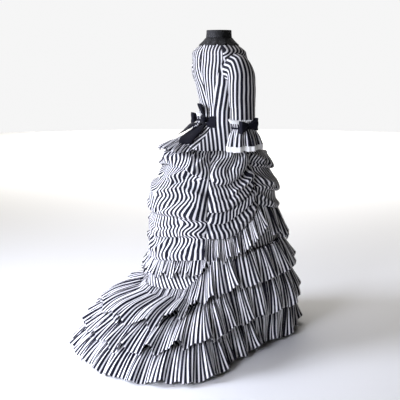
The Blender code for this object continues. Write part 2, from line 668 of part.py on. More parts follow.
# The bow on the ribbon
BOW_AHEAD = 0.004
BOW_REACH = 0.038
BOW_FULLNESS = 0.0105
BOW_OFF_ARM = 0.0135
BOW_PINCH = (0.0016, 0.008)
BOW_SPREAD = 0.015
BOW_TILT = 0.10
BOW_KNOT = (0.0045, 0.0075, 0.009)
BOW_KNOT_OFF_ARM = 0.0048
# Its tail: height, distance from the ribbon's face, half width
BOW_TAIL = ((1.0206, 0.0036, 0.005), (0.990, 0.0230, 0.009), (0.955, 0.0396, 0.010))


def bow_middle(sign):
    """Where the bow sits from front to back."""
    return RIBBON_CENTRE[1] - BOW_AHEAD + arm_shift(sign, RIBBON_HEIGHT)


def build_elbow_ribbon(side, sign, black, parent):
    """A narrow ribbon round the gathers, tied in a bow on the outer side of the arm."""
    turns = np.linspace(0, 2 * math.pi, RIBBON_SIDES, endpoint=False)
    frill = np.array(sorted(ELBOW_FRILL))
    rows = []
    for outward in (RIBBON_CLEAR + RIBBON_THICK, RIBBON_CLEAR):
        rings = []
        for height in (RIBBON_HEIGHT + RIBBON_HALF_WIDTH, RIBBON_HEIGHT - RIBBON_HALF_WIDTH):
            middle, back = (np.interp(height, frill[:, 0], frill[:, column]) for column in (1, 2))
            thick, deep = RIBBON_HALF[0] + outward, RIBBON_HALF[1] + outward
            back += arm_shift(sign, height)
            rings.append(np.stack([-sign * (middle + thick * np.cos(turns)), back + deep * np.sin(turns),
                                   np.full(RIBBON_SIDES, height)], axis=-1))
        rows.append(np.array(rings))
    wall("elbow_ribbon_" + side, rows[0], rows[1], black, parent, closed=True)
    face = RIBBON_CENTRE[0] + RIBBON_HALF[0] + RIBBON_CLEAR + RIBBON_THICK
    build_bow("elbow_bow_" + side, sign, face, black, parent)
    build_bow_knot("elbow_knot_" + side, sign, face, black, parent)
    build_bow_tail("elbow_tail_" + side, sign, face, black, parent)


def build_bow(name, sign, face, black, parent):
    """Both loops of the bow as one band, pinched at the middle without touching itself."""
    turns = np.linspace(0, 2 * math.pi, RIBBON_SIDES, endpoint=False)
    half_gap, half_knot = BOW_PINCH
    along = BOW_REACH * np.sin(turns)
    swell = np.abs(np.sin(turns)) ** 0.8
    out = face + BOW_OFF_ARM + (BOW_FULLNESS * swell + half_gap) * np.where(np.cos(turns) >= 0, 1, -1)
    half_width = half_knot + BOW_SPREAD * swell
    centre = np.stack([-sign * out, bow_middle(sign) + along,
                       RIBBON_HEIGHT + RIBBON_HALF_WIDTH - BOW_TILT * along], axis=-1)
    ahead, behind = np.roll(centre, -1, axis=0), np.roll(centre, 1, axis=0)
    run = ahead - behind
    normal = np.stack([run[:, 1], -run[:, 0], np.zeros(RIBBON_SIDES)], axis=-1)
    normal /= np.linalg.norm(normal, axis=1, keepdims=True)
    middle = centre.mean(axis=0)
    outward = np.sign(np.sum(normal * (centre - middle), axis=1, keepdims=True))
    outward[outward == 0] = 1
    normal = normal * outward
    up = np.array([0, 0, 1.0])
    outer = np.array([centre + normal * RIBBON_THICK / 2 + up * half_width[:, None],
                      centre + normal * RIBBON_THICK / 2 - up * half_width[:, None]])
    inner = outer - normal * RIBBON_THICK
    wall(name, outer, inner, black, parent, closed=True)


def build_block(name, centre, half, black, parent):
    """A small rounded block, for a knot: half gives its half sizes."""
    bm = bmesh.new()
    bmesh.ops.create_icosphere(bm, subdivisions=2, radius=1.0)
    for vertex in bm.verts:
        for axis in range(3):
            value = vertex.co[axis]
            vertex.co[axis] = centre[axis] + half[axis] * math.copysign(abs(value) ** 0.7, value)
    mesh = bpy.data.meshes.new(name)
    bm.to_mesh(mesh)
    bm.free()
    mesh.shade_smooth()
    mesh.materials.append(black)
    thing = bpy.data.objects.new(name, mesh)
    thing.parent = parent
    bpy.context.collection.objects.link(thing)


def build_bow_knot(name, sign, face, black, parent):
    centre = (-sign * (face + BOW_KNOT_OFF_ARM), bow_middle(sign), RIBBON_HEIGHT)
    build_block(name, centre, BOW_KNOT, black, parent)


def build_bow_tail(name, sign, face, black, parent):
    """One end of the ribbon, hanging from the knot over the frill."""
    outer = np.array([[(-sign * (face + out + RIBBON_THICK), bow_middle(sign) + shift, height)
                       for shift in (-half_width, half_width)] for height, out, half_width in BOW_TAIL])
    inner = outer + np.array([sign * RIBBON_THICK, 0, 0])
    wall(name, outer, inner, black, parent, closed=False)


def on_torso(angles, heights, stand):
    """Points over the bodice, moved out by stand, and the way out there."""
    normals = TORSO.normal(angles, heights)
    return TORSO.surface(angles, heights) + normals * np.asarray(stand)[..., None], normals


SASH_THICK = 0.0015
SASH_CLEAR = 0.0041
# Sash: angle from the back's middle, upper edge, lower edge
SASH_OUTLINE = ((3.5, 1.058, 1.034), (16, 1.064, 1.026), (34, 1.069, 1.016), (52, 1.071, 1.014))
# Tails: share of the length, angle, height of the middle, half width in degrees, how far off the basque
LONG_TAIL = ((0.0, 173, 1.029, 6, 0.0076), (0.35, 169, 1.002, 9, 0.016), (0.7, 166, 0.972, 7.5, 0.011),
             (1.0, 161, 0.948, 7, 0.006))
SHORT_TAIL = ((0.0, 187, 1.029, 6, 0.0076), (0.4, 191, 1.004, 7.5, 0.032), (1.0, 196, 0.970, 6, 0.012))
SASH_HEIGHT = 1.045
# Knot: distance off the bodice, height, half sizes
SASH_KNOT = (0.0196, 1.052, (0.0125, 0.0105, 0.0135))
# Loop of the bow: number of points, start, distance off the bodice, half height, fullness, lean, spread
LOOP_POINTS = 14
LOOP_START = (0.006, 1.0653)
LOOP_OFF_BODICE = 0.0141
LOOP_HALF_HEIGHT = 0.031
LOOP_FULLNESS = 0.0065
LOOP_LEAN = 0.30
LOOP_SKEW = 0.25
LOOP_HALF_WIDTH = 0.010
LOOP_SPREAD = 0.12


def build_sash(black, parent):
    """A half sash from the side-back seams, knotted at the middle of the back."""
    turn, upper, lower = zip(*SASH_OUTLINE)
    for side, sign in (("right", -1), ("left", 1)):
        offsets = np.linspace(turn[0], turn[-1], 9)
        angles = 180 + sign * offsets
        top = smooth_through(turn, upper, offsets)
        bottom = smooth_through(turn, lower, offsets)
        heights = np.array([top * (1 - share) + bottom * share for share in (0, 0.25, 0.5, 0.75, 1)])
        grid = np.broadcast_to(angles, heights.shape)
        outer, normals = on_torso(grid, heights, np.full(heights.shape, SASH_CLEAR + SASH_THICK))
        wall("sash_" + side, outer, outer - normals * SASH_THICK, black, parent, closed=False)
    waist_back = float(TORSO.radius(180, SASH_HEIGHT))
    off_bodice, height, half = SASH_KNOT
    build_block("sash_knot", (0, waist_back + off_bodice, height), half, black, parent)
    for name, tail in (("sash_tail_long", LONG_TAIL), ("sash_tail_short", SHORT_TAIL)):
        share, middle, heights, half, lift = (np.array(column) for column in zip(*tail))
        down = np.linspace(0, 1, 7)
        centre = smooth_through(share, middle, down)
        height = np.interp(down, share, heights)
        spread = smooth_through(share, half, down)
        grid = np.array([centre - spread, centre, centre + spread]).T
        rows = np.repeat(height[:, None], 3, axis=1)
        stand = np.repeat(smooth_through(share, lift, down)[:, None], 3, axis=1)
        outer, normals = on_torso(grid, rows, stand)
        wall(name, outer, outer - normals * SASH_THICK, black, parent, closed=False)
    build_sash_loop(waist_back, black, parent)


def build_sash_loop(waist_back, black, parent):
    """The upright loop of the sash's bow: a band that turns back on itself."""
    turns = np.linspace(0, 2 * math.pi, LOOP_POINTS, endpoint=False)
    height = LOOP_HALF_HEIGHT * (1 - np.cos(turns))
    swell = LOOP_FULLNESS * np.sin(turns) * (1 - 0.4 * np.cos(turns))
    start_x, start_height = LOOP_START
    middle = np.stack([start_x + LOOP_SKEW * height,
                       waist_back + LOOP_OFF_BODICE + LOOP_LEAN * height + swell,
                       start_height + height], axis=-1)
    across = np.array([1.0, 0.0, 0.0])
    half_width = LOOP_HALF_WIDTH + LOOP_SPREAD * height
    centre = middle.mean(axis=0)
    run = np.roll(middle, -1, axis=0) - np.roll(middle, 1, axis=0)
    normal = np.stack([np.zeros(LOOP_POINTS), run[:, 2], -run[:, 1]], axis=-1)
    normal /= np.linalg.norm(normal, axis=1, keepdims=True)
    normal *= np.where(np.sum(normal * (middle - centre), axis=1, keepdims=True) < 0, -1, 1)
    outer = np.array([middle + normal * SASH_THICK / 2 - across * half_width[:, None],
                      middle + normal * SASH_THICK / 2 + across * half_width[:, None]])
    wall("sash_loop", outer, outer - normal * SASH_THICK, black, parent, closed=True)


# Stand collar: height, how much closer to the neck than the bodice's top ring
COLLAR_ROWS = ((1.466, 0.003), (1.448, 0.002), (NECK_HEIGHT + 0.0004, 0.0))
COLLAR_SIDES = 20
COLLAR_THICK = 0.0018
# Lace edging on the shoulders
LACE_TOP = 1.4285
LACE_DROP = 0.029
LACE_SCALLOPS = 14
SCALLOP_DEPTH = 0.006
LACE_OFF_BODICE = 0.0029
LACE_THICK = 0.0012


def build_collar(black, parent):
    """A stand collar, and the lace edging that lies on the shoulders below it."""
    angles = np.linspace(0, 360, COLLAR_SIDES, endpoint=False)
    turn = np.radians(angles)
    neck = TORSO.radius(angles, NECK_HEIGHT)
    outer, inner = [], []
    for height, closer in COLLAR_ROWS:
        for ring, thinner in ((outer, 0), (inner, COLLAR_THICK)):
            radius = neck - closer - thinner
            ring.append(np.stack([-radius * np.sin(turn), -radius * np.cos(turn),
                                  np.full(COLLAR_SIDES, height)], axis=-1))
    wall("collar", np.array(outer), np.array(inner), black, parent, closed=True)
    angles = np.linspace(0, 360, LACE_SCALLOPS * 3, endpoint=False)
    drop = LACE_DROP + SCALLOP_DEPTH * np.abs(np.sin(np.radians(angles) * LACE_SCALLOPS / 2))
    rows = np.array([np.full(len(angles), LACE_TOP), LACE_TOP - drop])
    grid = np.broadcast_to(angles, rows.shape)
    outer, normals = on_torso(grid, rows, np.full(rows.shape, LACE_OFF_BODICE))
    wall("collar_lace", outer, outer - normals * LACE_THICK, black, parent, closed=True)


def build_dress():
    for thing in list(bpy.data.objects):
        bpy.data.objects.remove(thing, do_unlink=True)
    stripe = make_material("striped_cotton", (0.36, 0.36, 0.42), 0.75)
    white = make_material("white_cotton", (0.80, 0.80, 0.76), 0.80)
    black = make_material("black_velvet", (0.012, 0.011, 0.018), 0.85)
    lace = make_material("black_lace", (0.020, 0.020, 0.022), 0.70)
    floor = bpy.data.objects.new("floor_under_waist", None)
    floor.location = (0, 0, -WAIST_HEIGHT)
    bpy.context.collection.objects.link(floor)
    underskirt = Underskirt()
    underskirt.build(stripe, floor)
    for number, name, waves, stand_out, depth in FLOUNCES:
        build_flounce(underskirt, number, name, waves, stand_out, depth, stripe, floor)
    build_overskirt(stripe, floor)
    basque_edge = build_bodice(stripe, floor)
    build_basque_frill(basque_edge, stripe, floor)
    for side, sign in (("right", 1), ("left", -1)):
        build_sleeve(side, sign, stripe, white, black, floor)
    build_sash(black, floor)
    build_collar(lace, floor)


build_dress()
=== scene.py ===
"""A bustle dress of about 1880 in striped cotton, dressed over its CAD frame.

Metres, +Z up. The wearer faces -Y and has the right side at -X. Heights in the tables are above the
floor, and the world's origin is the middle of the waist. Angles go round the body's axis in degrees:
0 is the front, +90 the wearer's right, 180 the back. Every cloth carries its cut in its UVs, one metre
of UV to one metre of cloth, and the stripes follow them.
"""

import math

import bmesh
import bpy
import numpy as np
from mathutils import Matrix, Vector


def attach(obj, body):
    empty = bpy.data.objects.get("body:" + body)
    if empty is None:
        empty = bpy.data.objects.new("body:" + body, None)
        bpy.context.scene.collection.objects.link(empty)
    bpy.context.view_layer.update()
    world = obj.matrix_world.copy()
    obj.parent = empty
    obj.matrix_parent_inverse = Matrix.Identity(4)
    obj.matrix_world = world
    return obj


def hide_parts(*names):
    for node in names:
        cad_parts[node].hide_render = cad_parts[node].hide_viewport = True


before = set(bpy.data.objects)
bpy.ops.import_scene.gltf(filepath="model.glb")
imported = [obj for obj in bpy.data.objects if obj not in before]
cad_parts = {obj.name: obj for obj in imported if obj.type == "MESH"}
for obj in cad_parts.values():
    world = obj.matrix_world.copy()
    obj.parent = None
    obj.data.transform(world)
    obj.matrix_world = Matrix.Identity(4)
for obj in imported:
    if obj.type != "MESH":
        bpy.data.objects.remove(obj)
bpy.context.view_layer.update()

# Driving sizes
WAIST_HEIGHT = 1.04
CLOTH = 0.0025
SEAM_GAP = 0.0003
CLEARANCE = 0.0012
FINE_STEP = 0.005

# The train, below this height: how far it sweeps to the right, and its tuck on the left
TRAIN_TOP = 0.45
TRAIN_SWEEP = 0.040
TRAIN_TUCK = 0.12
TUCK_ANGLE = 226
TUCK_WIDTH = 34

# Columns of the two form tables, in degrees from the front
FORM_ANGLES = (0, 40, 80, 105, 120, 132, 150, 180)

# The underskirt over its hoop and bustle: height, then the distance from the axis at each angle
SKIRT_FORM = (
    (1.04, 0.096, 0.098, 0.096, 0.088, 0.077, 0.066, 0.053, 0.046),
    (1.00, 0.108, 0.112, 0.118, 0.112, 0.102, 0.092, 0.080, 0.074),
    (0.96, 0.133, 0.137, 0.145, 0.144, 0.138, 0.136, 0.146, 0.154),
    (0.92, 0.165, 0.168, 0.169, 0.170, 0.168, 0.166, 0.180, 0.196),
    (0.88, 0.198, 0.198, 0.190, 0.188, 0.188, 0.190, 0.208, 0.230),
    (0.80, 0.242, 0.238, 0.224, 0.218, 0.222, 0.232, 0.250, 0.266),
    (0.70, 0.266, 0.262, 0.250, 0.242, 0.250, 0.266, 0.282, 0.296),
    (0.60, 0.284, 0.280, 0.268, 0.262, 0.272, 0.286, 0.298, 0.310),
    (0.50, 0.298, 0.294, 0.284, 0.280, 0.292, 0.300, 0.306, 0.322),
    (0.42, 0.315, 0.308, 0.292, 0.292, 0.308, 0.318, 0.322, 0.340),
    (0.34, 0.335, 0.322, 0.298, 0.302, 0.332, 0.346, 0.343, 0.366),
    (0.30, 0.345, 0.328, 0.298, 0.308, 0.346, 0.364, 0.352, 0.384),
    (0.25, 0.356, 0.335, 0.298, 0.314, 0.360, 0.396, 0.374, 0.420),
    (0.20, 0.366, 0.340, 0.294, 0.320, 0.380, 0.475, 0.505, 0.545),
    (0.15, 0.373, 0.338, 0.286, 0.323, 0.388, 0.528, 0.568, 0.602),
    (0.07, 0.382, 0.324, 0.264, 0.325, 0.392, 0.590, 0.648, 0.678),
    (0.00, 0.388, 0.310, 0.250, 0.325, 0.395, 0.632, 0.702, 0.728),
)

# The bodice over the wearer's upper body, down to the edge of its basque
TORSO_FORM = (
    (1.430, 0.062, 0.062, 0.064, 0.064, 0.062, 0.061, 0.060, 0.060),
    (1.405, 0.076, 0.081, 0.100, 0.100, 0.092, 0.085, 0.078, 0.073),
    (1.360, 0.102, 0.120, 0.163, 0.163, 0.146, 0.128, 0.108, 0.094),
    (1.300, 0.142, 0.150, 0.158, 0.152, 0.139, 0.127, 0.112, 0.100),
    (1.250, 0.158, 0.160, 0.150, 0.144, 0.133, 0.122, 0.106, 0.092),
    (1.200, 0.150, 0.153, 0.142, 0.136, 0.122, 0.109, 0.092, 0.078),
    (1.140, 0.126, 0.132, 0.126, 0.120, 0.106, 0.094, 0.078, 0.064),
    (1.090, 0.112, 0.117, 0.111, 0.103, 0.091, 0.079, 0.065, 0.053),
    (1.050, 0.110, 0.114, 0.110, 0.102, 0.090, 0.079, 0.066, 0.057),
    (1.000, 0.130, 0.135, 0.140, 0.135, 0.127, 0.121, 0.122, 0.128),
    (0.960, 0.166, 0.169, 0.170, 0.167, 0.165, 0.170, 0.198, 0.232),
    (0.920, 0.197, 0.199, 0.197, 0.194, 0.198, 0.218, 0.260, 0.300),
    (0.890, 0.204, 0.206, 0.204, 0.203, 0.208, 0.234, 0.282, 0.324),
)

# Level lines over the skirt, as heights at FORM_ANGLES
LEVELS = {
    "flounce_2_top": (0.490, 0.490, 0.475, 0.465, 0.455, 0.390, 0.302, 0.290),
    "flounce_2_hem": (0.345, 0.345, 0.325, 0.310, 0.300, 0.240, 0.172, 0.158),
    "flounce_3_top": (0.360, 0.358, 0.345, 0.330, 0.320, 0.270, 0.208, 0.196),
    "flounce_3_hem": (0.185, 0.182, 0.165, 0.155, 0.150, 0.118, 0.083, 0.074),
    "flounce_4_top": (0.205, 0.200, 0.188, 0.178, 0.172, 0.146, 0.114, 0.106),
}

# Level lines of the overskirt: (angle, height) pairs from the front to the back of each panel
WAIST_LINE = 1.030
FRONT_LINES = (
    ((0, 0.962), (40, 0.952), (78, 0.934)),
    ((0, 0.913), (78, 0.916)),
    ((0, 0.808), (30, 0.813), (60, 0.832), (78, 0.843)),
    ((0, 0.703), (30, 0.708), (60, 0.734), (78, 0.755)),
    ((0, 0.612), (40, 0.628), (78, 0.672)),
)
SIDE_LINES = (
    ((79, 0.934), (131, 0.930)),
    ((79, 0.875), (90, 0.830), (100, 0.797), (110, 0.777), (118, 0.770), (131, 0.786)),
    ((79, 0.775), (90, 0.727), (100, 0.695), (110, 0.668), (118, 0.655), (131, 0.650)),
    ((79, 0.715), (90, 0.680), (100, 0.650), (110, 0.622), (118, 0.606), (131, 0.602)),
    ((79, 0.655), (90, 0.602), (100, 0.560), (110, 0.536), (118, 0.530), (131, 0.532)),
)
BACK_LINES = (
    ((132, 0.930), (150, 0.935), (180, 0.957)),
    ((132, 0.788), (146, 0.812), (162, 0.838), (180, 0.850)),
    ((132, 0.606), (146, 0.620), (160, 0.628), (180, 0.622)),
    ((132, 0.545), (148, 0.548), (160, 0.536), (180, 0.518)),
    ((132, 0.438), (150, 0.426), (180, 0.406)),
)
# How far each swag stands out between two level lines, top to bottom
FRONT_SWAGS = (0.0, 0.016, 0.020, 0.018, 0.007)
SIDE_SWAGS = (0.0, 0.018, 0.020, 0.014, 0.012)
BACK_SWAGS = (0.0, 0.016, 0.026, 0.014, 0.010)
FRONT_FRILL_HEM = ((0, 0.455), (30, 0.468), (62, 0.522), (78, 0.556))
SIDE_FRILL_HEM = ((79, 0.545), (90, 0.495), (104, 0.454), (112, 0.436), (121, 0.430), (131, 0.430))
BACK_FRILL_HEM = ((132, 0.374), (142, 0.364), (156, 0.352), (180, 0.336))

# Seams of the bodice, as (height, angle) pairs
SIDE_SEAM = ((0.89, 78), (1.04, 80), (1.22, 84), (1.27, 90), (1.325, 107), (1.345, 114), (1.43, 118))
BACK_SEAM = ((0.89, 149), (1.04, 143), (1.09, 141), (1.20, 131), (1.28, 121), (1.325, 114.4),
             (1.345, 114), (1.43, 118))
BASQUE_EDGE = ((0, 0.950), (40, 0.943), (80, 0.924), (132, 0.922), (148, 0.930), (165, 0.956), (180, 0.965))
SIDE_PANEL_TOP = 1.3445
NECK_HEIGHT = 1.4295

# The wearer's sides, with the sign of their angles
SIDES = (("right", 1), ("left", -1))

# Armhole
ARMHOLE_CENTRE_Y = 0.004
ARMHOLE_CENTRE_HEIGHT = 1.290
ARMHOLE_HALF_DEPTH = 0.050
ARMHOLE_HALF_HEIGHT = 0.064
ARMHOLE_FROM_X = 0.08


def smooth_step(t, start, end, leaving, arriving):
    """A smooth curve from start to end with these slopes, at t from 0 to 1."""
    return ((1 + 2 * t) * (1 - t) ** 2 * start + t * (1 - t) ** 2 * leaving
            + t * t * (3 - 2 * t) * end - t * t * (1 - t) * arriving)


def smooth_through(knots, values, where, flat_ends=False):
    """Read a smooth curve through the knots, which never overshoots them, at where."""
    knots = np.asarray(knots, float)
    values = np.asarray(values, float)
    where = np.clip(np.asarray(where, float), knots[0], knots[-1])
    steps = np.diff(knots)
    slopes = np.diff(values) / steps
    tangents = np.zeros(len(knots))
    product = slopes[:-1] * slopes[1:]
    both = slopes[:-1] + slopes[1:]
    both[both == 0] = 1.0
    tangents[1:-1] = np.where(product > 0, 2.0 * product / both, 0.0)
    if not flat_ends:
        tangents[0], tangents[-1] = slopes[0], slopes[-1]
    left = np.clip(np.searchsorted(knots, where, side="right") - 1, 0, len(steps) - 1)
    step = steps[left]
    t = (where - knots[left]) / step
    return smooth_step(t, values[left], values[left + 1], step * tangents[left], step * tangents[left + 1])


def from_front(angle):
    """Degrees from the front on either side, 0 to 180."""
    return np.abs((np.asarray(angle, float) + 180) % 360 - 180)


class Form:
    """A hollow body given by its distance from the axis, a row for each height."""

    def __init__(self, rows):
        rows = sorted(rows)
        row_heights = [row[0] for row in rows]
        self.heights = np.arange(row_heights[0], row_heights[-1] + FINE_STEP, FINE_STEP)
        self.angles = np.arange(0, 181)
        by_row = [smooth_through(FORM_ANGLES, row[1:], self.angles, flat_ends=True) for row in rows]
        columns = np.array(by_row).T
        self.grid = np.array([smooth_through(row_heights, column, self.heights) for column in columns])

    def radius(self, angle, height):
        """Distance from the axis at angles in degrees and heights above the floor."""
        column = np.clip(from_front(angle), 0, 179.999)
        row = np.clip((np.asarray(height, float) - self.heights[0]) / FINE_STEP, 0, len(self.heights) - 1.001)
        i, j = column.astype(int), row.astype(int)
        a, b = column - i, row - j
        upper = self.grid[i, j] * (1 - b) + self.grid[i, j + 1] * b
        lower = self.grid[i + 1, j] * (1 - b) + self.grid[i + 1, j + 1] * b
        return upper * (1 - a) + lower * a

    def surface(self, angle, height):
        """Points of the form; the train sweeps to the wearer's right and tucks in on the left."""
        angle, height = np.broadcast_arrays(np.asarray(angle, float), np.asarray(height, float))
        turn = np.radians(angle)
        lowness = np.clip((TRAIN_TOP - height) / TRAIN_TOP, 0, 1)
        tuck = np.exp(-((angle % 360 - TUCK_ANGLE) / TUCK_WIDTH) ** 2) * np.minimum(1, 2 * lowness)
        radius = self.radius(angle, height) * (1 - TRAIN_TUCK * tuck)
        backness = (1 - np.cos(turn)) / 2
        x = -radius * np.sin(turn) - TRAIN_SWEEP * lowness * backness
        y = -radius * np.cos(turn)
        return np.stack([x, y, height], axis=-1)

    def normal(self, angle, height):
        """Unit normals pointing out of the form."""
        angle, height = np.broadcast_arrays(np.asarray(angle, float), np.asarray(height, float))
        across = self.surface(angle + 0.5, height) - self.surface(angle - 0.5, height)
        up = self.surface(angle, height + 0.004) - self.surface(angle, height - 0.004)
        normal = np.cross(up, across)
        return normal / np.linalg.norm(normal, axis=-1, keepdims=True)

    def off(self, angle, height, stand):
        """Points that stand off the form along its normals."""
        return self.surface(angle, height) + self.normal(angle, height) * np.asarray(stand)[..., None]


SKIRT = Form(SKIRT_FORM)
TORSO = Form(TORSO_FORM)


def level(name_or_pairs, angle):
    """Height of a level line at signed angles."""
    if isinstance(name_or_pairs, str):
        return smooth_through(FORM_ANGLES, LEVELS[name_or_pairs], from_front(angle), flat_ends=True)
    knots, heights = zip(*name_or_pairs)
    return smooth_through(knots, heights, from_front(angle))


def ripple(turn, waves):
    """Slow waves added up; each is its size, its number in a turn and its phase."""
    return sum(size * np.sin(number * turn + phase) for size, number, phase in waves)


# Slow changes along a gathered edge: size of the main waves and of the folds between them, shift of the
# main waves, of those folds and of the fine gathers, and height of the hem
MAIN_UNEVEN = ((0.22, 5, 1.3), (0.16, 11, 0.5))
SECOND_UNEVEN = ((0.35, 7, 2), (0.25, 13, 0))
MAIN_DRIFT = ((0.55, 3, 0), (0.35, 7, 2))
SECOND_DRIFT = ((1.1, 3, 0), (0.8, 8, 0))
FINE_DRIFT = ((2.0, 5, 0), (1.0, 19, 0))
HEM_DRIFT = ((0.7, 6, 1), (0.5, 17, 0))


def wave(share, waves):
    """Gathers along an edge: share runs from 0 to 1, and some waves are deeper than others."""
    turn = 2 * math.pi * share
    return np.cos(waves * turn) * (1 + ripple(turn, MAIN_UNEVEN))


# Thickness of the cloth and of the ribbon
CLOTH_THICK = 0.0012
RIBBON_CLOTH = 0.0010
# Stripes: width of a pair, share of it that is black, softness of the edge
STRIPE_PERIOD = 0.020
STRIPE_BLACK = 0.60
STRIPE_SOFT = 0.02
# Noise scales of the weave and the crumples per metre, and their heights on cotton and velvet
WEAVE_SCALE = 900
CRUMPLE_SCALE = 38
COTTON_BUMP = (0.00012, 0.0022)
VELVET_BUMP = (0.0002, 0.0006)
# The net: cells and motifs per metre, size of its holes, and where the motifs begin
NET_SCALE, NET_HOLE = 210, 0.24
MOTIF_SCALE, MOTIF_FROM = 60, 0.50


def new_material(name):
    material = bpy.data.materials.new(name)
    material.use_nodes = True
    return material, material.node_tree.nodes, material.node_tree.links


def set_inputs(node, **values):
    """Sets inputs of a node by name, with _ for each space."""
    for name, value in values.items():
        node.inputs[name.replace("_", " ")].default_value = value


def cloth_material(name, **values):
    """A material whose shader has these inputs, and the place on the flat cloth to read it by."""
    material, nodes, links = new_material(name)
    shader = nodes["Principled BSDF"]
    set_inputs(shader, **values)
    uv = nodes.new("ShaderNodeUVMap")
    uv.uv_map = "cloth"
    return material, nodes, links, shader, uv.outputs["UV"]


def smooth_range(nodes, links, value, **limits):
    node = nodes.new("ShaderNodeMapRange")
    node.interpolation_type = "SMOOTHSTEP"
    set_inputs(node, **limits)
    links.new(value, node.inputs["Value"])
    return node.outputs["Result"]


def maths(nodes, links, operation, first, second=None):
    """A math node on one or two inputs, each a socket or a number."""
    node = nodes.new("ShaderNodeMath")
    node.operation = operation
    for socket, value in zip(node.inputs, (first, second)):
        if isinstance(value, (int, float)):
            socket.default_value = value
        elif value is not None:
            links.new(value, socket)
    return node.outputs[0]


def noise(nodes, links, vector, scale, detail):
    node = nodes.new("ShaderNodeTexNoise")
    set_inputs(node, Scale=scale, Detail=detail)
    links.new(vector, node.inputs["Vector"])
    return node.outputs["Fac"]


def colour_mix(nodes, links, factor, first, second):
    node = nodes.new("ShaderNodeMix")
    node.data_type = "RGBA"
    links.new(factor, node.inputs["Factor"])
    set_inputs(node, A=(*first, 1), B=(*second, 1))
    return node.outputs["Result"]


def cloth_bump(nodes, links, shader, vector, weave, crumple):
    """A fine weave and soft crumples, as a bump on the shader."""
    fine = noise(nodes, links, vector, WEAVE_SCALE, 1)
    soft = noise(nodes, links, vector, CRUMPLE_SCALE, 3)
    height = maths(nodes, links, "ADD", maths(nodes, links, "MULTIPLY", fine, weave),
                   maths(nodes, links, "MULTIPLY", soft, crumple))
    bump = nodes.new("ShaderNodeBump")
    set_inputs(bump, Strength=1.0, Distance=1.0)
    links.new(height, bump.inputs["Height"])
    links.new(bump.outputs["Normal"], shader.inputs["Normal"])


def cotton(name, white, black):
    """Cotton with woven stripes along its length; with no black it is plain."""
    material, nodes, links, shader, place = cloth_material(
        name, Roughness=0.72, Specular_IOR_Level=0.25, Sheen_Weight=0.04, Sheen_Roughness=0.6)
    cloth_bump(nodes, links, shader, place, *COTTON_BUMP)
    if black is None:
        shader.inputs["Base Color"].default_value = (*white, 1)
        return material
    split = nodes.new("ShaderNodeSeparateXYZ")
    links.new(place, split.inputs["Vector"])
    across = maths(nodes, links, "DIVIDE", split.outputs["X"], STRIPE_PERIOD)
    saw = maths(nodes, links, "PINGPONG", across, 0.5)
    half_white = (1 - STRIPE_BLACK) / 2
    is_black = smooth_range(nodes, links, saw, From_Min=half_white - STRIPE_SOFT,
                            From_Max=half_white + STRIPE_SOFT)
    links.new(colour_mix(nodes, links, is_black, white, black), shader.inputs["Base Color"])
    return material


def velvet(name, colour):
    """Short black pile with a soft sheen at its edges."""
    material, nodes, links, shader, place = cloth_material(
        name, Base_Color=(*colour, 1), Roughness=0.85, Specular_IOR_Level=0.15,
        Sheen_Weight=0.08, Sheen_Roughness=0.35)
    cloth_bump(nodes, links, shader, place, *VELVET_BUMP)
    return material


def black_net(name, thread, seen_through):
    """Black lace: dense motifs, with the pale cloth behind glinting through its net."""
    material, nodes, links, shader, place = cloth_material(name, Roughness=0.7)
    cells = nodes.new("ShaderNodeTexVoronoi")
    set_inputs(cells, Scale=NET_SCALE)
    links.new(place, cells.inputs["Vector"])
    hole = maths(nodes, links, "LESS_THAN", cells.outputs["Distance"], NET_HOLE)
    motifs = noise(nodes, links, place, MOTIF_SCALE, 1)
    motif = maths(nodes, links, "GREATER_THAN", motifs, MOTIF_FROM)
    factor = maths(nodes, links, "MULTIPLY", hole, motif)
    links.new(colour_mix(nodes, links, factor, thread, seen_through), shader.inputs["Base Color"])
    return material


STRIPE = cotton("striped cotton", (0.83, 0.82, 0.845), (0.006, 0.006, 0.016))
WHITE = cotton("white cotton", (0.86, 0.86, 0.85), None)
VELVET = velvet("black velvet", (0.006, 0.006, 0.012))
LACE = black_net("black lace", (0.006, 0.006, 0.008), (0.16, 0.16, 0.17))


def rows_down(count):
    """Shares of the way down, 0 to 1, one for each row."""
    return np.linspace(0, 1, count)[:, None]


def running_length(points, closed=False):
    """Length from the first column to each column, along the last row of points."""
    edge = np.vstack([points[-1], points[-1][:1]]) if closed else points[-1]
    return np.concatenate([[0], np.cumsum(np.linalg.norm(np.diff(edge, axis=0), axis=1))])


def girths(points):
    """Length round every row of a closed grid."""
    closing = np.concatenate([points, points[:, :1]], axis=1)
    return np.linalg.norm(np.diff(closing, axis=1), axis=2).sum(axis=1)[:, None]


def length_down(points, closed=False):
    """Length from the top to each row, in every column."""
    steps = np.linalg.norm(np.diff(points, axis=0), axis=2)
    down = np.concatenate([np.zeros((1, points.shape[1])), np.cumsum(steps, axis=0)])
    return np.hstack([down, down[:, :1]]) if closed else down


def add_piece(node, mesh):
    """Puts a mesh in the scene in place of its node of the frame."""
    thing = bpy.data.objects.new(node + "_cloth", mesh)
    bpy.context.scene.collection.objects.link(thing)
    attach(thing, "root")
    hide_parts(node)
    return thing


def outward_share(points, corners, closed):
    """Positive where the faces look away from the body's axis, or from a tube's own middle line."""
    a, b, c, d = (points[corners[:, k]] for k in range(4))
    normal = np.cross(c - a, d - b)
    centre = (a + b + c + d) / 4
    middle = points.mean(axis=0) if closed else np.zeros(3)
    out = centre - middle
    out[:, 2] = 0
    return float(np.sum(normal * out))


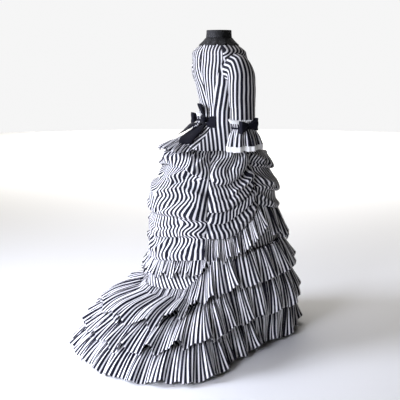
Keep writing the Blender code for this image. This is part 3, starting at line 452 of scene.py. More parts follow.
def cloth(node, points, material, closed=False, u=None, v=None, keep=None,
          thick=CLOTH_THICK, trim=None):
    """One cut piece of cloth: a thin shell on a grid of points, rows down and columns across.

    u and v are its place on the flat cloth in metres, or else
    lengths along the lower edge and down the piece. keep says which faces stay, and trim is a second
    material with the faces that have it.
    """
    u = running_length(points, closed)[None] if u is None else u
    v = length_down(points, closed) if v is None else v
    rows, columns = points.shape[:2]
    spans = columns if closed else columns - 1
    u, v = (np.broadcast_to(part, (rows, spans + 1)) for part in (u, v))
    row, column = (part.ravel() for part in np.meshgrid(np.arange(rows - 1), np.arange(spans), indexing="ij"))
    stays = np.ones(len(row), bool) if keep is None else keep.ravel()
    row, column = row[stays], column[stays]
    beside = (column + 1) % columns
    corners = np.stack([row * columns + column, (row + 1) * columns + column,
                        (row + 1) * columns + beside, row * columns + beside], axis=1)
    flat = np.stack([np.stack([part[row, column], part[row + 1, column],
                               part[row + 1, column + 1], part[row, column + 1]], axis=1)
                     for part in (u, v)], axis=2)
    places = points.reshape(-1, 3) - np.array([0, 0, WAIST_HEIGHT])
    if outward_share(places, corners, closed) < 0:
        corners, flat = corners[:, ::-1], flat[:, ::-1]
    used, index = np.unique(corners, return_inverse=True)
    mesh = bpy.data.meshes.new(node + "_cloth")
    mesh.from_pydata(places[used].tolist(), [], index.reshape(corners.shape).tolist())
    layer = mesh.uv_layers.new(name="cloth")
    layer.data.foreach_set("uv", flat.reshape(-1).astype(np.float32))
    mesh.shade_smooth()
    mesh.materials.append(material)
    if trim is not None:
        mesh.materials.append(trim[0])
        mesh.polygons.foreach_set("material_index", trim[1].ravel()[stays].astype(np.int32))
    thing = add_piece(node, mesh)
    shell = thing.modifiers.new("thickness", "SOLIDIFY")
    shell.thickness = thick
    shell.offset = -1


def ribbon(node, points, closed=False):
    """A piece of the black velvet ribbon."""
    cloth(node, points, VELVET, closed, thick=RIBBON_CLOTH)


# Crumples: how many sets of creases, the first's wavelength, how much longer and turned each next one is
CREASE_SETS = 5
FIRST_WAVELENGTH = 0.060
LONGER_BY = 0.026
TURNED_BY = 2.4


def crumple(across, down, seed):
    """Soft creases of a pressed cloth, from about -1 to 1; across and down are in metres."""
    total = 0
    for number in range(CREASE_SETS):
        turn = seed + TURNED_BY * number
        wavelength = FIRST_WAVELENGTH + LONGER_BY * number
        phase = 2 * math.pi * (across * math.cos(turn) + down * math.sin(turn)) / wavelength
        phase = phase + 1.7 * np.sin(9 * across + number) + 1.3 * np.sin(11 * down + seed)
        total = total + 1 - 2 * np.abs(np.sin(phase / 2))
    return total / CREASE_SETS


def through_rows(rows, steps):
    """More rows along a smooth path through the given ones, with steps from each to the next."""
    rows = np.asarray(rows, float)
    tangents = np.gradient(rows, axis=0)
    path = []
    for start, end, leaving, coming in zip(rows, rows[1:], tangents, tangents[1:]):
        for t in np.linspace(0, 1, steps, endpoint=False):
            path.append(smooth_step(t, start, end, leaving, coming))
    path.append(rows[-1])
    return np.array(path)


UNDERSKIRT_HEM = 0.012
UNDERSKIRT_ROWS, UNDERSKIRT_COLUMNS = 40, 160


def build_underskirt():
    """The plain skirt under the flounces."""
    angles = np.linspace(0, 360, UNDERSKIRT_COLUMNS, endpoint=False)[None]
    down = rows_down(UNDERSKIRT_ROWS)
    angles, heights = np.broadcast_arrays(angles, WAIST_LINE * (1 - down) + UNDERSKIRT_HEM * down)
    points = SKIRT.off(angles, heights, np.zeros(heights.shape))
    around = np.linspace(0, 1, UNDERSKIRT_COLUMNS + 1)[None]
    cloth("underskirt", points, STRIPE, closed=True, u=around * girths(points))


# Flounces of the underskirt: number, name, waves, how far the hem stands out, depth of its waves
FLOUNCES = (
    (2, "flounce_upper", 24, 0.050, 0.0150),
    (3, "flounce_middle", 28, 0.050, 0.0145),
    (4, "flounce_hem", 32, 0.050, 0.0160),
)
# The lowest hem's height, the gap to the underskirt, and how soon a flounce and a frill swell out
HEM_ON_FLOOR = 0.0015
FLOUNCE_CLEAR = 0.004
FLOUNCE_SWELL = 0.75
FRILL_SWELL = 0.85
# Columns to a wave, and rows down a flounce and a frill
POINTS_PER_WAVE = 36
FLOUNCE_ROWS, FRILL_ROWS = 22, 17
# Folds between the main waves, and the fine gathers where a flounce is sewn on
SECOND_WAVES = 1.7
SECOND_DEPTH = 0.48
FOLD_LEAN = 0.28
MAIN_GAIN = 1.10
GATHERS_PER_WAVE = 5
GATHER_DEPTH = 0.0047
# How far a hem rises over its folds, how far it starts below its line, and its cut width to its run
HEM_LIFT = 0.0085
UNLIFTED = 0.014
GATHERED_WIDTH = 0.93


def second_phase(turn, waves):
    """Phase of the folds between the main waves, closer in some stretches than in others."""
    return round(SECOND_WAVES * waves) * turn + ripple(turn, SECOND_DRIFT)


def folds(share, waves, depth, down):
    """How far a gathered strip stands out of its mean form, in rows down and columns share."""
    turn = 2 * math.pi * share
    fine = GATHERS_PER_WAVE * waves * turn + ripple(turn, FINE_DRIFT)
    main = MAIN_GAIN * wave(share, waves) * depth * down
    uneven = 1 + ripple(turn, SECOND_UNEVEN)
    between = np.cos(second_phase(turn, waves)) * uneven * SECOND_DEPTH * depth * down ** 0.8
    gathers = np.cos(fine) * GATHER_DEPTH * (1 - down) ** 0.7
    return main + between + gathers


def hem_lift(share, waves, down):
    """How far the hem rises where a fold comes forward, with some stretches higher than others."""
    turn = 2 * math.pi * share
    high = 2 + wave(share, waves) + 0.8 * np.cos(second_phase(turn, waves)) + ripple(turn, HEM_DRIFT)
    return HEM_LIFT * np.maximum(high, 0) * down ** 3


def fold_lean(share, waves):
    """How far the cloth leans along the edge, so that its folds are full and rounded."""
    turn = 2 * math.pi * share
    main = np.sin(2 * waves * turn) / (2 * math.pi * waves)
    between = np.sin(2 * second_phase(turn, waves)) / (2 * math.pi * round(SECOND_WAVES * waves))
    return FOLD_LEAN * main + 0.5 * FOLD_LEAN * between


def build_flounce(number, name, waves, stand_out, depth):
    """A gathered flounce, sewn along its top and flaring to its hem."""
    hem_line = "flounce_%d_hem" % number if number < 4 else None
    fine = np.linspace(0, 360, 721)
    path = SKIRT.surface(fine, level(hem_line, fine) if hem_line else np.zeros_like(fine))
    lengths = running_length(path[None])
    share = np.linspace(0, 1, waves * POINTS_PER_WAVE, endpoint=False)[None]
    turn = 2 * math.pi * share
    shift = (ripple(turn, MAIN_DRIFT) - ripple(0, MAIN_DRIFT)) / (2 * math.pi * waves)
    down = rows_down(FLOUNCE_ROWS)
    place = share + shift + fold_lean(share, waves) * down
    angles = np.interp(place % 1, lengths / lengths[-1], fine)
    hem = level(hem_line, angles) if hem_line else np.full_like(angles, HEM_ON_FLOOR)
    drop = UNLIFTED * down ** 3 if hem_line else 0
    heights = level("flounce_%d_top" % number, angles) * (1 - down) + hem * down - drop
    heights = heights + hem_lift(share, waves, down)
    stand = CLOTH + FLOUNCE_CLEAR + stand_out * down ** FLOUNCE_SWELL + folds(share, waves, depth, down)
    normals = SKIRT.normal(angles, heights)
    if hem_line is None:
        normals[..., 2] *= 1 - down
        normals /= np.linalg.norm(normals, axis=-1, keepdims=True)
    points = SKIRT.surface(angles, heights) + normals * stand[..., None]
    cloth(name, points, STRIPE, closed=True,
          u=GATHERED_WIDTH * running_length(points, True)[None])


# How far the overskirt stands off the form, below and at the waist
OVERSKIRT_STAND_OUT = 0.0075
OVERSKIRT_AT_WAIST = 0.0020
# Overskirt seams, as angles from the front
FRONT_SEAM = 78.5
POUF_SEAM = 131.5
HALF_SEAM = 0.045
# Columns of its panels
FRONT_COLUMNS, SIDE_COLUMNS, BACK_COLUMNS = 150, 96, 160
# Overskirt frills: waves, how far the hem stands out, depth of the waves
FRONT_FRILL = (9, 0.032, 0.011)
SIDE_FRILL = (6, 0.036, 0.013)
BACK_FRILL = (9, 0.022, 0.009)
# A swag: where it is fullest, where it turns under, how far it hangs below its line and tucks above it
SWAG_FULL = 0.74
SWAG_TURN = 0.88
LIP_DROP = 0.016
LIP_TUCK = 0.014
ROWS_PER_SWAG = 30
ROWS_OF_YOKE = 12
SWAG_GAIN = 1.65
# Heights of the ridges along a swag, the pulls at its seams and the crumples of the cloth
RIDGE = 0.0075
PULL = 0.0080
CRUMPLE = 0.0030
# How many pulls a swag has, and how far they reach from the seam, as a share of half the panel
PULLS = 2.5
PULL_REACH = 0.22
# The least that a panel stands off the form
PANEL_LEAST = 0.004
# Radius at which an angle is read as a length across, and how softly a turn of the stripes begins
CREASE_RADIUS = 0.29
TURN_BLEND = 1.1


def swag_path(share):
    """How far a swag stands out, 0 to 1, and how far it falls, 0 to 1, on its way down."""
    swell = (1 - np.cos(math.pi * np.minimum(share / SWAG_FULL, 1))) / 2
    turning = np.clip((share - SWAG_FULL) / (1 - SWAG_FULL), 0, 1)
    out = np.where(share < SWAG_FULL, swell, (1 + np.cos(math.pi * turning)) / 2)
    fall = np.minimum(share / SWAG_TURN, 1)
    back = np.clip((share - SWAG_TURN) / (1 - SWAG_TURN), 0, 1)
    return out, fall, back


def swag_relief(across, share, ridges, number, seed):
    """Ridges along a swag, and short pulls where it is gathered into its seams."""
    wander = ripple(across, ((0.9, 2.1, seed + number), (0.5, 5.3, 2 * seed)))
    ridge = np.cos(2 * math.pi * ridges * share ** 1.25 + wander)
    envelope = np.sin(math.pi * np.clip(share / 0.95, 0, 1)) ** 0.8
    envelope = envelope * (0.55 + 0.45 * np.cos(2.7 * across + number))
    by_seam = np.exp(-((1 - np.abs(across)) / PULL_REACH) ** 2)
    pulled = np.sin(2 * math.pi * (PULLS * share + 0.3 * seed)) * by_seam
    return RIDGE * ridge * envelope + PULL * pulled * np.sin(math.pi * share)


def stripe_turns(angles, heights, turns):
    """How far the stripes shift across where the cloth was folded: (angle, height), size, slant."""
    total = np.zeros(np.broadcast(angles, heights).shape)
    per_degree = math.radians(1) * CREASE_RADIUS
    for (angle, height), (wide, tall), slant in turns:
        x, y = (angles - angle) * per_degree / wide, (heights - height) / tall
        inside = np.clip(1.5 - np.maximum(np.abs(x), np.abs(y)), 0, TURN_BLEND) / TURN_BLEND
        total = total + slant * (heights - height) * inside
    return total


def creases_at(angles, heights, creases):
    """Soft troughs and ridges along strokes: (angle, height) at both ends, half width, rise out."""
    total = np.zeros(np.broadcast(angles, heights).shape)
    per_degree = math.radians(1) * CREASE_RADIUS
    x, y = angles * per_degree, heights
    for (angle_a, height_a), (angle_b, height_b), width, rise in creases:
        ax, bx = angle_a * per_degree, angle_b * per_degree
        run_x, run_y = bx - ax, height_b - height_a
        along = ((x - ax) * run_x + (y - height_a) * run_y) / (run_x ** 2 + run_y ** 2)
        near = np.clip(along, 0, 1)
        away = (x - ax - near * run_x) ** 2 + (y - height_a - near * run_y) ** 2
        total = total + rise * np.exp(-away / width ** 2)
    return total


def build_panel(name, first, last, columns, lines, swags, leans, ridges, creases, turns, seed):
    """One panel of the overskirt, draped in swags that overlap like a blind, with folds along them."""
    angles = np.linspace(first, last, columns + 1)[None]
    across = np.linspace(-1, 1, columns + 1)[None]
    fade = 1 - across ** 8
    levels = [np.full_like(angles, WAIST_LINE)] + [level(line, angles) for line in lines]
    heights, stands, shifts = [], [], []
    last_tuck = 0
    for number, swag in enumerate(swags):
        top, bottom = levels[number] + last_tuck, levels[number + 1]
        count = ROWS_PER_SWAG if swag else ROWS_OF_YOKE
        share = np.linspace(0, 1, count, endpoint=number == len(swags) - 1)[:, None]
        if not swag:
            heights.append(top * (1 - share) + bottom * share)
            fuller = (OVERSKIRT_STAND_OUT - OVERSKIRT_AT_WAIST) * np.minimum(1, 2 * share)
            stands.append(OVERSKIRT_AT_WAIST + fuller + CLOTH + 0 * across)
            shifts.append(np.zeros_like(share))
            continue
        final = number == len(swags) - 1
        out, fall, back = swag_path(share)
        drop, tuck = (0, 0) if final else (LIP_DROP * fade, LIP_TUCK)
        deep = np.sin(math.pi * np.clip((share - 0.5) / 0.5, 0, 1)) ** 2
        heights.append(top * (1 - fall) + bottom * fall - deep * drop + back * tuck)
        relief = swag_relief(across, share, ridges[number], number, seed) * fade
        stands.append(OVERSKIRT_STAND_OUT + CLOTH + swag * out * fade * SWAG_GAIN + relief)
        lean = leans[number] * (share - 0.5)
        following = 0.0 if final else -0.5 * leans[number + 1]
        shifts.append(np.where(share < SWAG_TURN, lean, lean * (1 - back) + following * back))
        last_tuck = tuck
    heights, stands, shifts = np.concatenate(heights), np.concatenate(stands), np.concatenate(shifts)
    grid = np.broadcast_to(angles, heights.shape)
    width = running_length(SKIRT.off(angles, levels[-2], 0 * angles))
    flat_across = np.broadcast_to(width[None], heights.shape)
    flat_down = length_down(SKIRT.off(grid, heights, stands))
    small = crumple(flat_across, flat_down, seed) * CRUMPLE * fade
    pressed = creases_at(grid, heights, creases) * np.minimum(1, 8 * (1 - np.abs(across)))
    points = SKIRT.off(grid, heights, np.maximum(stands + small + pressed, PANEL_LEAST))
    turned = stripe_turns(grid, heights, turns)
    cloth(name, points, STRIPE, u=flat_across + shifts + turned, v=flat_down)


def build_frill(name, first, last, line, hem_line, waves, stand_out, depth):
    """The gathered frill sewn under the lower edge of an overskirt panel."""
    share = np.linspace(0, 1, waves * POINTS_PER_WAVE + 1)[None]
    down = rows_down(FRILL_ROWS)
    inside = np.sin(math.pi * share) ** 0.25
    place = share + fold_lean(share, waves) * down * inside
    angles = first + (last - first) * place
    heights = (level(line, angles) - SEAM_GAP) * (1 - down) + level(hem_line, angles) * down
    heights = heights + hem_lift(share, waves, down) - UNLIFTED * down ** 3
    stand = OVERSKIRT_STAND_OUT + CLOTH + stand_out * down ** FRILL_SWELL
    points = SKIRT.off(angles, heights, stand + folds(share, waves, depth, down))
    cloth(name, points, STRIPE,
          u=GATHERED_WIDTH * running_length(points)[None])


# Folds pressed into the panels on the wearer's right, and mirrored ones on the left
SIDE_CREASES = (
    ((84, 0.900), (104, 0.840), 0.010, 0.014),
    ((90, 0.880), (112, 0.825), 0.008, -0.012),
    ((100, 0.905), (126, 0.850), 0.012, 0.016),
    ((108, 0.890), (129, 0.872), 0.007, -0.012),
    ((82, 0.800), (106, 0.735), 0.010, 0.014),
    ((86, 0.770), (112, 0.700), 0.007, -0.012),
    ((104, 0.740), (129, 0.748), 0.012, 0.014),
    ((110, 0.712), (129, 0.700), 0.007, -0.011),
    ((82, 0.730), (104, 0.665), 0.008, 0.010),
    ((84, 0.660), (102, 0.590), 0.010, 0.010),
    ((104, 0.580), (128, 0.572), 0.009, -0.010),
)
BACK_CREASES = (
    ((134, 0.905), (146, 0.835), 0.012, 0.020),
    ((136, 0.862), (148, 0.798), 0.009, -0.018),
    ((150, 0.925), (152, 0.850), 0.010, 0.014),
    ((158, 0.900), (176, 0.862), 0.012, 0.016),
    ((150, 0.800), (166, 0.770), 0.009, -0.018),
    ((152, 0.830), (172, 0.790), 0.011, 0.018),
    ((154, 0.750), (178, 0.715), 0.010, 0.014),
    ((136, 0.720), (150, 0.742), 0.010, 0.012),
    ((134, 0.660), (152, 0.690), 0.012, -0.010),
    ((156, 0.690), (174, 0.640), 0.010, -0.014),
    ((134, 0.600), (150, 0.566), 0.008, 0.012),
    ((152, 0.590), (178, 0.550), 0.009, -0.012),
    ((136, 0.530), (150, 0.470), 0.010, 0.012),
    ((156, 0.520), (164, 0.440), 0.010, -0.014),
    ((166, 0.510), (178, 0.450), 0.010, 0.012),
)
FRONT_CREASES = (
    ((76, 0.895), (58, 0.850), 0.009, 0.012),
    ((76, 0.860), (50, 0.830), 0.007, -0.010),
    ((76, 0.800), (56, 0.752), 0.009, 0.012),
    ((76, 0.770), (48, 0.728), 0.007, -0.010),
    ((76, 0.720), (58, 0.668), 0.009, 0.010),
    ((20, 0.870), (-14, 0.866), 0.012, 0.008),
    ((24, 0.768), (-18, 0.760), 0.010, -0.008),
)
# Where folds turn the stripes: centre, half size across and down, slant
SIDE_TURNS = (((112, 0.860), (0.10, 0.05), 0.70), ((96, 0.730), (0.06, 0.05), -0.35))
BACK_TURNS = (
    ((160, 0.840), (0.07, 0.04), 0.60),
    ((161, 0.750), (0.07, 0.04), -0.60),
    ((160, 0.670), (0.07, 0.04), 0.50),
    ((141, 0.573), (0.050, 0.028), 1.3),
    ((141, 0.850), (0.06, 0.04), -0.5),
    ((158, 0.480), (0.07, 0.05), 0.40),
)
FRONT_TURNS = (((66, 0.870), (0.07, 0.04), 0.8), ((66, 0.770), (0.07, 0.04), -0.8))


def mirrored(strokes, about=0):
    """The same strokes on the other side of the body's middle, at 0 in front or 180 behind."""
    return tuple(((2 * about - a, b), (2 * about - c, d), width, rise)
                 for (a, b), (c, d), width, rise in strokes)


def mirrored_turns(turns, about=0):
    return tuple(((2 * about - angle, height), size, -slant) for (angle, height), size, slant in turns)


# For each panel of the overskirt: how far its stripes lean in each swag, and its folds along a swag
FRONT_LEANS, FRONT_RIDGES = (0, 0.030, -0.045, 0.050, -0.020), (0, 1.5, 2.0, 2.0, 1.5)
SIDE_LEANS, SIDE_RIDGES = (0, -0.060, 0.050, -0.030, 0.030), (0, 1.6, 2.2, 1.5, 1.5)
BACK_LEANS, BACK_RIDGES = (0, 0.030, -0.030, 0.020, 0.0), (0, 2.2, 3.0, 1.5, 2.0)


def build_overskirt():
    """Front apron, two sides and the pouf at the back, each with its frill."""
    reach = FRONT_SEAM - HALF_SEAM
    build_panel("overskirt_front", -reach, reach, FRONT_COLUMNS, FRONT_LINES, FRONT_SWAGS, FRONT_LEANS,
                FRONT_RIDGES, FRONT_CREASES + mirrored(FRONT_CREASES),
                FRONT_TURNS + mirrored_turns(FRONT_TURNS), 0.4)
    build_frill("overskirt_front_frill", -reach, reach, FRONT_LINES[-1], FRONT_FRILL_HEM, *FRONT_FRILL)
    for side, sign in SIDES:
        first, last = sign * (FRONT_SEAM + HALF_SEAM), sign * (POUF_SEAM - HALF_SEAM)
        creases = SIDE_CREASES if sign > 0 else mirrored(SIDE_CREASES)
        turns = SIDE_TURNS if sign > 0 else mirrored_turns(SIDE_TURNS)
        build_panel("overskirt_side_" + side, first, last, SIDE_COLUMNS, SIDE_LINES, SIDE_SWAGS,
                    SIDE_LEANS, SIDE_RIDGES, creases, turns, 1.3 + sign)
        build_frill("overskirt_side_frill_" + side, first, last, SIDE_LINES[-1], SIDE_FRILL_HEM,
                    *SIDE_FRILL)
    first, last = POUF_SEAM + HALF_SEAM, 360 - POUF_SEAM - HALF_SEAM
    build_panel("overskirt_back", first, last, BACK_COLUMNS, BACK_LINES, BACK_SWAGS, BACK_LEANS, BACK_RIDGES,
                BACK_CREASES + mirrored(BACK_CREASES, 180), BACK_TURNS + mirrored_turns(BACK_TURNS, 180), 2.9)
    build_frill("overskirt_back_frill", first, last, BACK_LINES[-1], BACK_FRILL_HEM, *BACK_FRILL)


# The shoulder's stripes: their slant, and the height above which they have it
SHOULDER_SLANT = 1.3
SHOULDER_FROM = 1.32
BODICE_OFF_FORM = 0.0004
BODICE_CRUMPLE = 0.0010
# Half the gap at a seam, and the length down a panel to the height that it falls
BODICE_HALF_GAP = 0.7 * SEAM_GAP
BODICE_SLOPE = 1.02
# Rows of a panel from its top to the basque's edge
BODICE_ROWS = 110


def seam_angle(seam, height):
    heights, angles = zip(*seam)
    return np.interp(height, heights, angles)


def build_bodice_panel(name, start_seam, end_seam, top, columns, sign, seed):
    """A bodice panel between two seams, cut in one with its part of the basque."""
    share = np.linspace(0, 1, columns + 1)[None]
    down = rows_down(BODICE_ROWS)
    turn = 0.5 * (seam_angle(start_seam, 1.1) + seam_angle(end_seam, 1.1)) * np.ones_like(share * down)
    for _ in range(5):
        heights = top * (1 - down) + level(BASQUE_EDGE, turn) * down
        start, end = seam_angle(start_seam, heights), seam_angle(end_seam, heights)
        half_gap = np.degrees(BODICE_HALF_GAP / TORSO.radius(start, heights))
        turn = (start + half_gap) * (1 - share) + (end - half_gap) * share
    radius = TORSO.radius(turn, heights)
    middle = 0.5 * (start + end)
    flat_across = np.radians(turn - middle) * radius
    if end_seam is SIDE_SEAM:
        flat_across = flat_across + SHOULDER_SLANT * np.clip(heights - SHOULDER_FROM, 0, 1)
    flat_down = (top - heights) * BODICE_SLOPE
    stand = BODICE_OFF_FORM + BODICE_CRUMPLE * crumple(flat_across, flat_down, seed)
    points = TORSO.off(turn * sign, heights, stand)
    hole = ((points[..., 1] - ARMHOLE_CENTRE_Y) / ARMHOLE_HALF_DEPTH) ** 2
    hole = hole + ((points[..., 2] - ARMHOLE_CENTRE_HEIGHT) / ARMHOLE_HALF_HEIGHT) ** 2
    hole = np.where(np.abs(points[..., 0]) > ARMHOLE_FROM_X, hole, np.inf)
    keep = (hole[:-1, :-1] + hole[1:, :-1] + hole[:-1, 1:] + hole[1:, 1:]) / 4 > 1.0
    cloth(name, points, STRIPE, u=flat_across, v=flat_down, keep=keep)


def build_bodice():
    """Fronts, sides and backs, with open armholes."""
    front_closing = ((0.89, 0), (1.43, 0))
    back_centre = ((0.89, 180), (1.43, 180))
    for side, sign in SIDES:
        build_bodice_panel("bodice_front_" + side, front_closing, SIDE_SEAM, NECK_HEIGHT, 56, sign, 0.3)
        build_bodice_panel("bodice_side_" + side, SIDE_SEAM, BACK_SEAM, SIDE_PANEL_TOP, 36, sign, 1.1)
        build_bodice_panel("bodice_back_" + side, BACK_SEAM, back_centre, NECK_HEIGHT, 44, sign, 2.2)


# Frill at the back of the basque: half width in degrees, waves, drop, stand and depth of its waves
BASQUE_FRILL_REACH = 30
BASQUE_FRILL_WAVES = 8
BASQUE_FRILL_DROP = 0.040
BASQUE_FRILL_STAND = 0.006
BASQUE_FRILL_DEPTH = 0.007
BASQUE_FRILL_ROWS, BASQUE_FRILL_COLUMNS = 12, 260


def build_basque_frill():
    """The short gathered frill that ends the back of the basque and stands out over the bustle."""
    share = np.linspace(0, 1, BASQUE_FRILL_COLUMNS)[None]
    down = rows_down(BASQUE_FRILL_ROWS)
    angles = 180 - BASQUE_FRILL_REACH + 2 * BASQUE_FRILL_REACH * share + 0 * down
    taper = np.minimum(1, 4 * np.minimum(share, 1 - share) + 0.25)
    heights = level(BASQUE_EDGE, angles) - SEAM_GAP - BASQUE_FRILL_DROP * taper * down
    stand = BODICE_OFF_FORM + BASQUE_FRILL_STAND * down
    stand = stand + folds(share, BASQUE_FRILL_WAVES, BASQUE_FRILL_DEPTH, down) * taper
    points = TORSO.off(angles, heights, stand)
    cloth("basque_frill", points, STRIPE)


# Sleeve: the armpit turns the rings from the upright armhole to the level arm.
# Each row: tilt in degrees, pivot drop, half size across the arm's thickness, half size front to back
SLEEVE_HEAD = (
    (90, 0.000, 0.0690, 0.0550),
    (62, 0.005, 0.0700, 0.0600),
    (34, 0.011, 0.0640, 0.0650),
    (10, 0.018, 0.0570, 0.0660),
)
ARMPIT_X = 0.1495
ARMPIT_HEIGHT = 1.221
# Lower sleeve: height, centre from the middle, centre back, half thickness, half depth
SLEEVE_ARM = (
    (1.160, 0.2110, 0.004, 0.0520, 0.0640),
    (1.110, 0.2260, 0.010, 0.0495, 0.0600),
    (1.070, 0.2370, 0.014, 0.0470, 0.0560),
    (1.028, 0.2480, 0.018, 0.0440, 0.0520),
)
# Elbow frill: height, centre from the middle, centre back, half thickness, half depth, wave depth
ELBOW_FRILL = (
    (1.066, 0.2380, 0.014, 0.0560, 0.0650, 0.0035),
    (1.030, 0.2475, 0.018, 0.0467, 0.0548, 0.0000),
    (0.990, 0.2570, 0.021, 0.0570, 0.0690, 0.0060),
    (0.950, 0.2660, 0.023, 0.0640, 0.0800, 0.0085),
)
# The white band below the frill: its lower edge, in the same columns
ELBOW_BAND_HEM = (0.9255, 0.2690, 0.0235, 0.0635, 0.0800, 0.0075)
# The frill's waves, the folds between them and its fine gathers, in a turn, and how uneven the waves are
ELBOW_WAVES, ELBOW_BETWEEN, ELBOW_FINE = 7, 16, 46
ELBOW_UNEVEN = ((0.25, 3, 0.7),)
# The left arm hangs further forward than the right: height, shift to the back
LEFT_ARM_SWING = ((1.09, -0.105), (1.16, -0.090), (1.21, -0.070), (1.25, -0.042), (1.29, -0.015))
# Columns and rows of the sleeve, of the frill and of its band
SLEEVE_COLUMNS, ROWS_PER_RING = 112, 11
ELBOW_FRILL_COLUMNS, ROWS_PER_FRILL_ROW, ELBOW_BAND_ROWS = 336, 10, 8
# Depth of the sleeve's crumples
SLEEVE_CRUMPLE = 0.0022
# Creases round the arm at the elbow: height, distance down the sleeve, reach and spacing
ELBOW_CREASE = 0.0015
ELBOW_CREASES_AT = 0.20
ELBOW_CREASES_REACH = 0.035
ELBOW_CREASES_APART = 0.022
# The elbow frill: where it is tied, and the height above which its heading is white
RIBBON_HEIGHT = 1.030
HEADING_WHITE = 1.050
# Its hem: rise to the front, and one deep fold, as a turn round the arm, width, depth and rise
ELBOW_HEM_RISE = 0.014
ELBOW_FOLD_AT = 6.80
ELBOW_FOLD_WIDE = 0.13
ELBOW_FOLD_DEEP = 0.011
ELBOW_FOLD_RISE = 0.005
# Its fine gathers under the ribbon and the ruffle of its heading, and how far up each reaches
ELBOW_GATHER, ELBOW_GATHER_REACH = 0.0014, 0.022
ELBOW_RUFFLE, ELBOW_RUFFLE_REACH = 0.0045, 0.036


def arm_shift(sign, height):
    """How far back of its place an arm hangs at a height."""
    heights, shifts = zip(*LEFT_ARM_SWING)
    return 0.0 if sign > 0 else float(np.interp(height, heights, shifts))


def torso_side(y, height, sign):
    """How far out the bodice's surface lies at a place on its side."""
    x = 0.15
    for _ in range(12):
        angle = math.degrees(math.atan2(x, -y))
        x = math.sqrt(max(float(TORSO.radius(angle, height)) ** 2 - y * y, 1e-6))
    return -sign * x


def ring_turns(count, start=0.0):
    """Even steps once round a ring, in radians."""
    return np.linspace(start, start + 2 * math.pi, count, endpoint=False)


def arm_ring(row, sign, turns, out=0.0):
    """A level ring round the arm, whose half sizes grow by out."""
    height, middle, back, thick, deep = row[:5]
    return np.stack([-sign * (middle + (thick + out) * np.cos(turns)),
                     back + arm_shift(sign, height) + (deep + out) * np.sin(turns),
                     np.full(len(turns), height)], axis=-1)


def sleeve_rings(sign, turns):
    """Rings of the sleeve, from the armhole to the elbow."""
    rings = []
    for number, (tilt, drop, thick, deep) in enumerate(SLEEVE_HEAD):
        lean = math.radians(tilt)
        centre = np.array([-sign * (ARMPIT_X + thick * math.cos(lean)), ARMHOLE_CENTRE_Y,
                           ARMPIT_HEIGHT - drop + thick * math.sin(lean)])
        up = np.array([-sign * math.cos(lean), 0, math.sin(lean)])
        ring = centre + up * thick * np.cos(turns)[:, None] + np.array([0, deep, 0]) * np.sin(turns)[:, None]
        if number == 0:
            ring[:, 0] = [torso_side(point[1], point[2], sign) - sign * CLEARANCE for point in ring]
        else:
            ring[:, 1] += arm_shift(sign, centre[2])
        rings.append(ring)
    return np.array(rings + [arm_ring(row, sign, turns) for row in SLEEVE_ARM])


def grid_normals(points):
    """Unit normals of a closed grid, pointing out of its tube."""
    across = np.roll(points, -1, axis=1) - np.roll(points, 1, axis=1)
    down = np.gradient(points, axis=0)
    normals = np.cross(across, down)
    normals /= np.maximum(np.linalg.norm(normals, axis=-1, keepdims=True), 1e-9)
    out = points - points.mean(axis=1, keepdims=True)
    return normals * np.where(np.sum(normals * out) < 0, -1, 1)


def elbow_hang(ring, turns, height):
    """The frill's hem rises to the front, with one deep fold on its outer side."""
    down = max(0.0, (RIBBON_HEIGHT - height) / (RIBBON_HEIGHT - ELBOW_BAND_HEM[0]))
    front = (1 - np.sin(turns)) / 2
    fold = np.exp(-((turns - ELBOW_FOLD_AT) / ELBOW_FOLD_WIDE) ** 2)
    inwards = ring.mean(axis=0) - ring
    inwards /= np.linalg.norm(inwards, axis=1, keepdims=True)
    hung = ring + inwards * (ELBOW_FOLD_DEEP * down * fold)[:, None]
    hung[:, 2] += down * (ELBOW_HEM_RISE * front + ELBOW_FOLD_RISE * fold)
    return hung


def build_sleeve(side, sign):
    """Elbow-length sleeve, with a few creases at the elbow."""
    turns = ring_turns(SLEEVE_COLUMNS, math.pi)
    points = through_rows(sleeve_rings(sign, turns), ROWS_PER_RING)
    around = np.linspace(-0.5, 0.5, len(turns) + 1)[None]
    girth = girths(points)
    flat_down = np.broadcast_to(length_down(points).mean(axis=1)[:, None], (len(points), len(turns) + 1))
    inside = np.sin(math.pi * np.linspace(0, 1, len(points)))[:, None] ** 0.5
    creases = SLEEVE_CRUMPLE * crumple(around[:, :-1] * girth, flat_down[:, :-1], 0.7 + sign)
    past_elbow = flat_down[:, :-1] - ELBOW_CREASES_AT
    elbow = np.exp(-(past_elbow / ELBOW_CREASES_REACH) ** 2)
    elbow = elbow * np.cos(2 * math.pi * flat_down[:, :-1] / ELBOW_CREASES_APART)
    creases = creases + ELBOW_CREASE * elbow * (1 - np.cos(turns)) / 2
    points = points + grid_normals(points) * (creases * inside)[..., None]
    cloth("sleeve_" + side, points, STRIPE, closed=True, u=around * girth, v=flat_down)


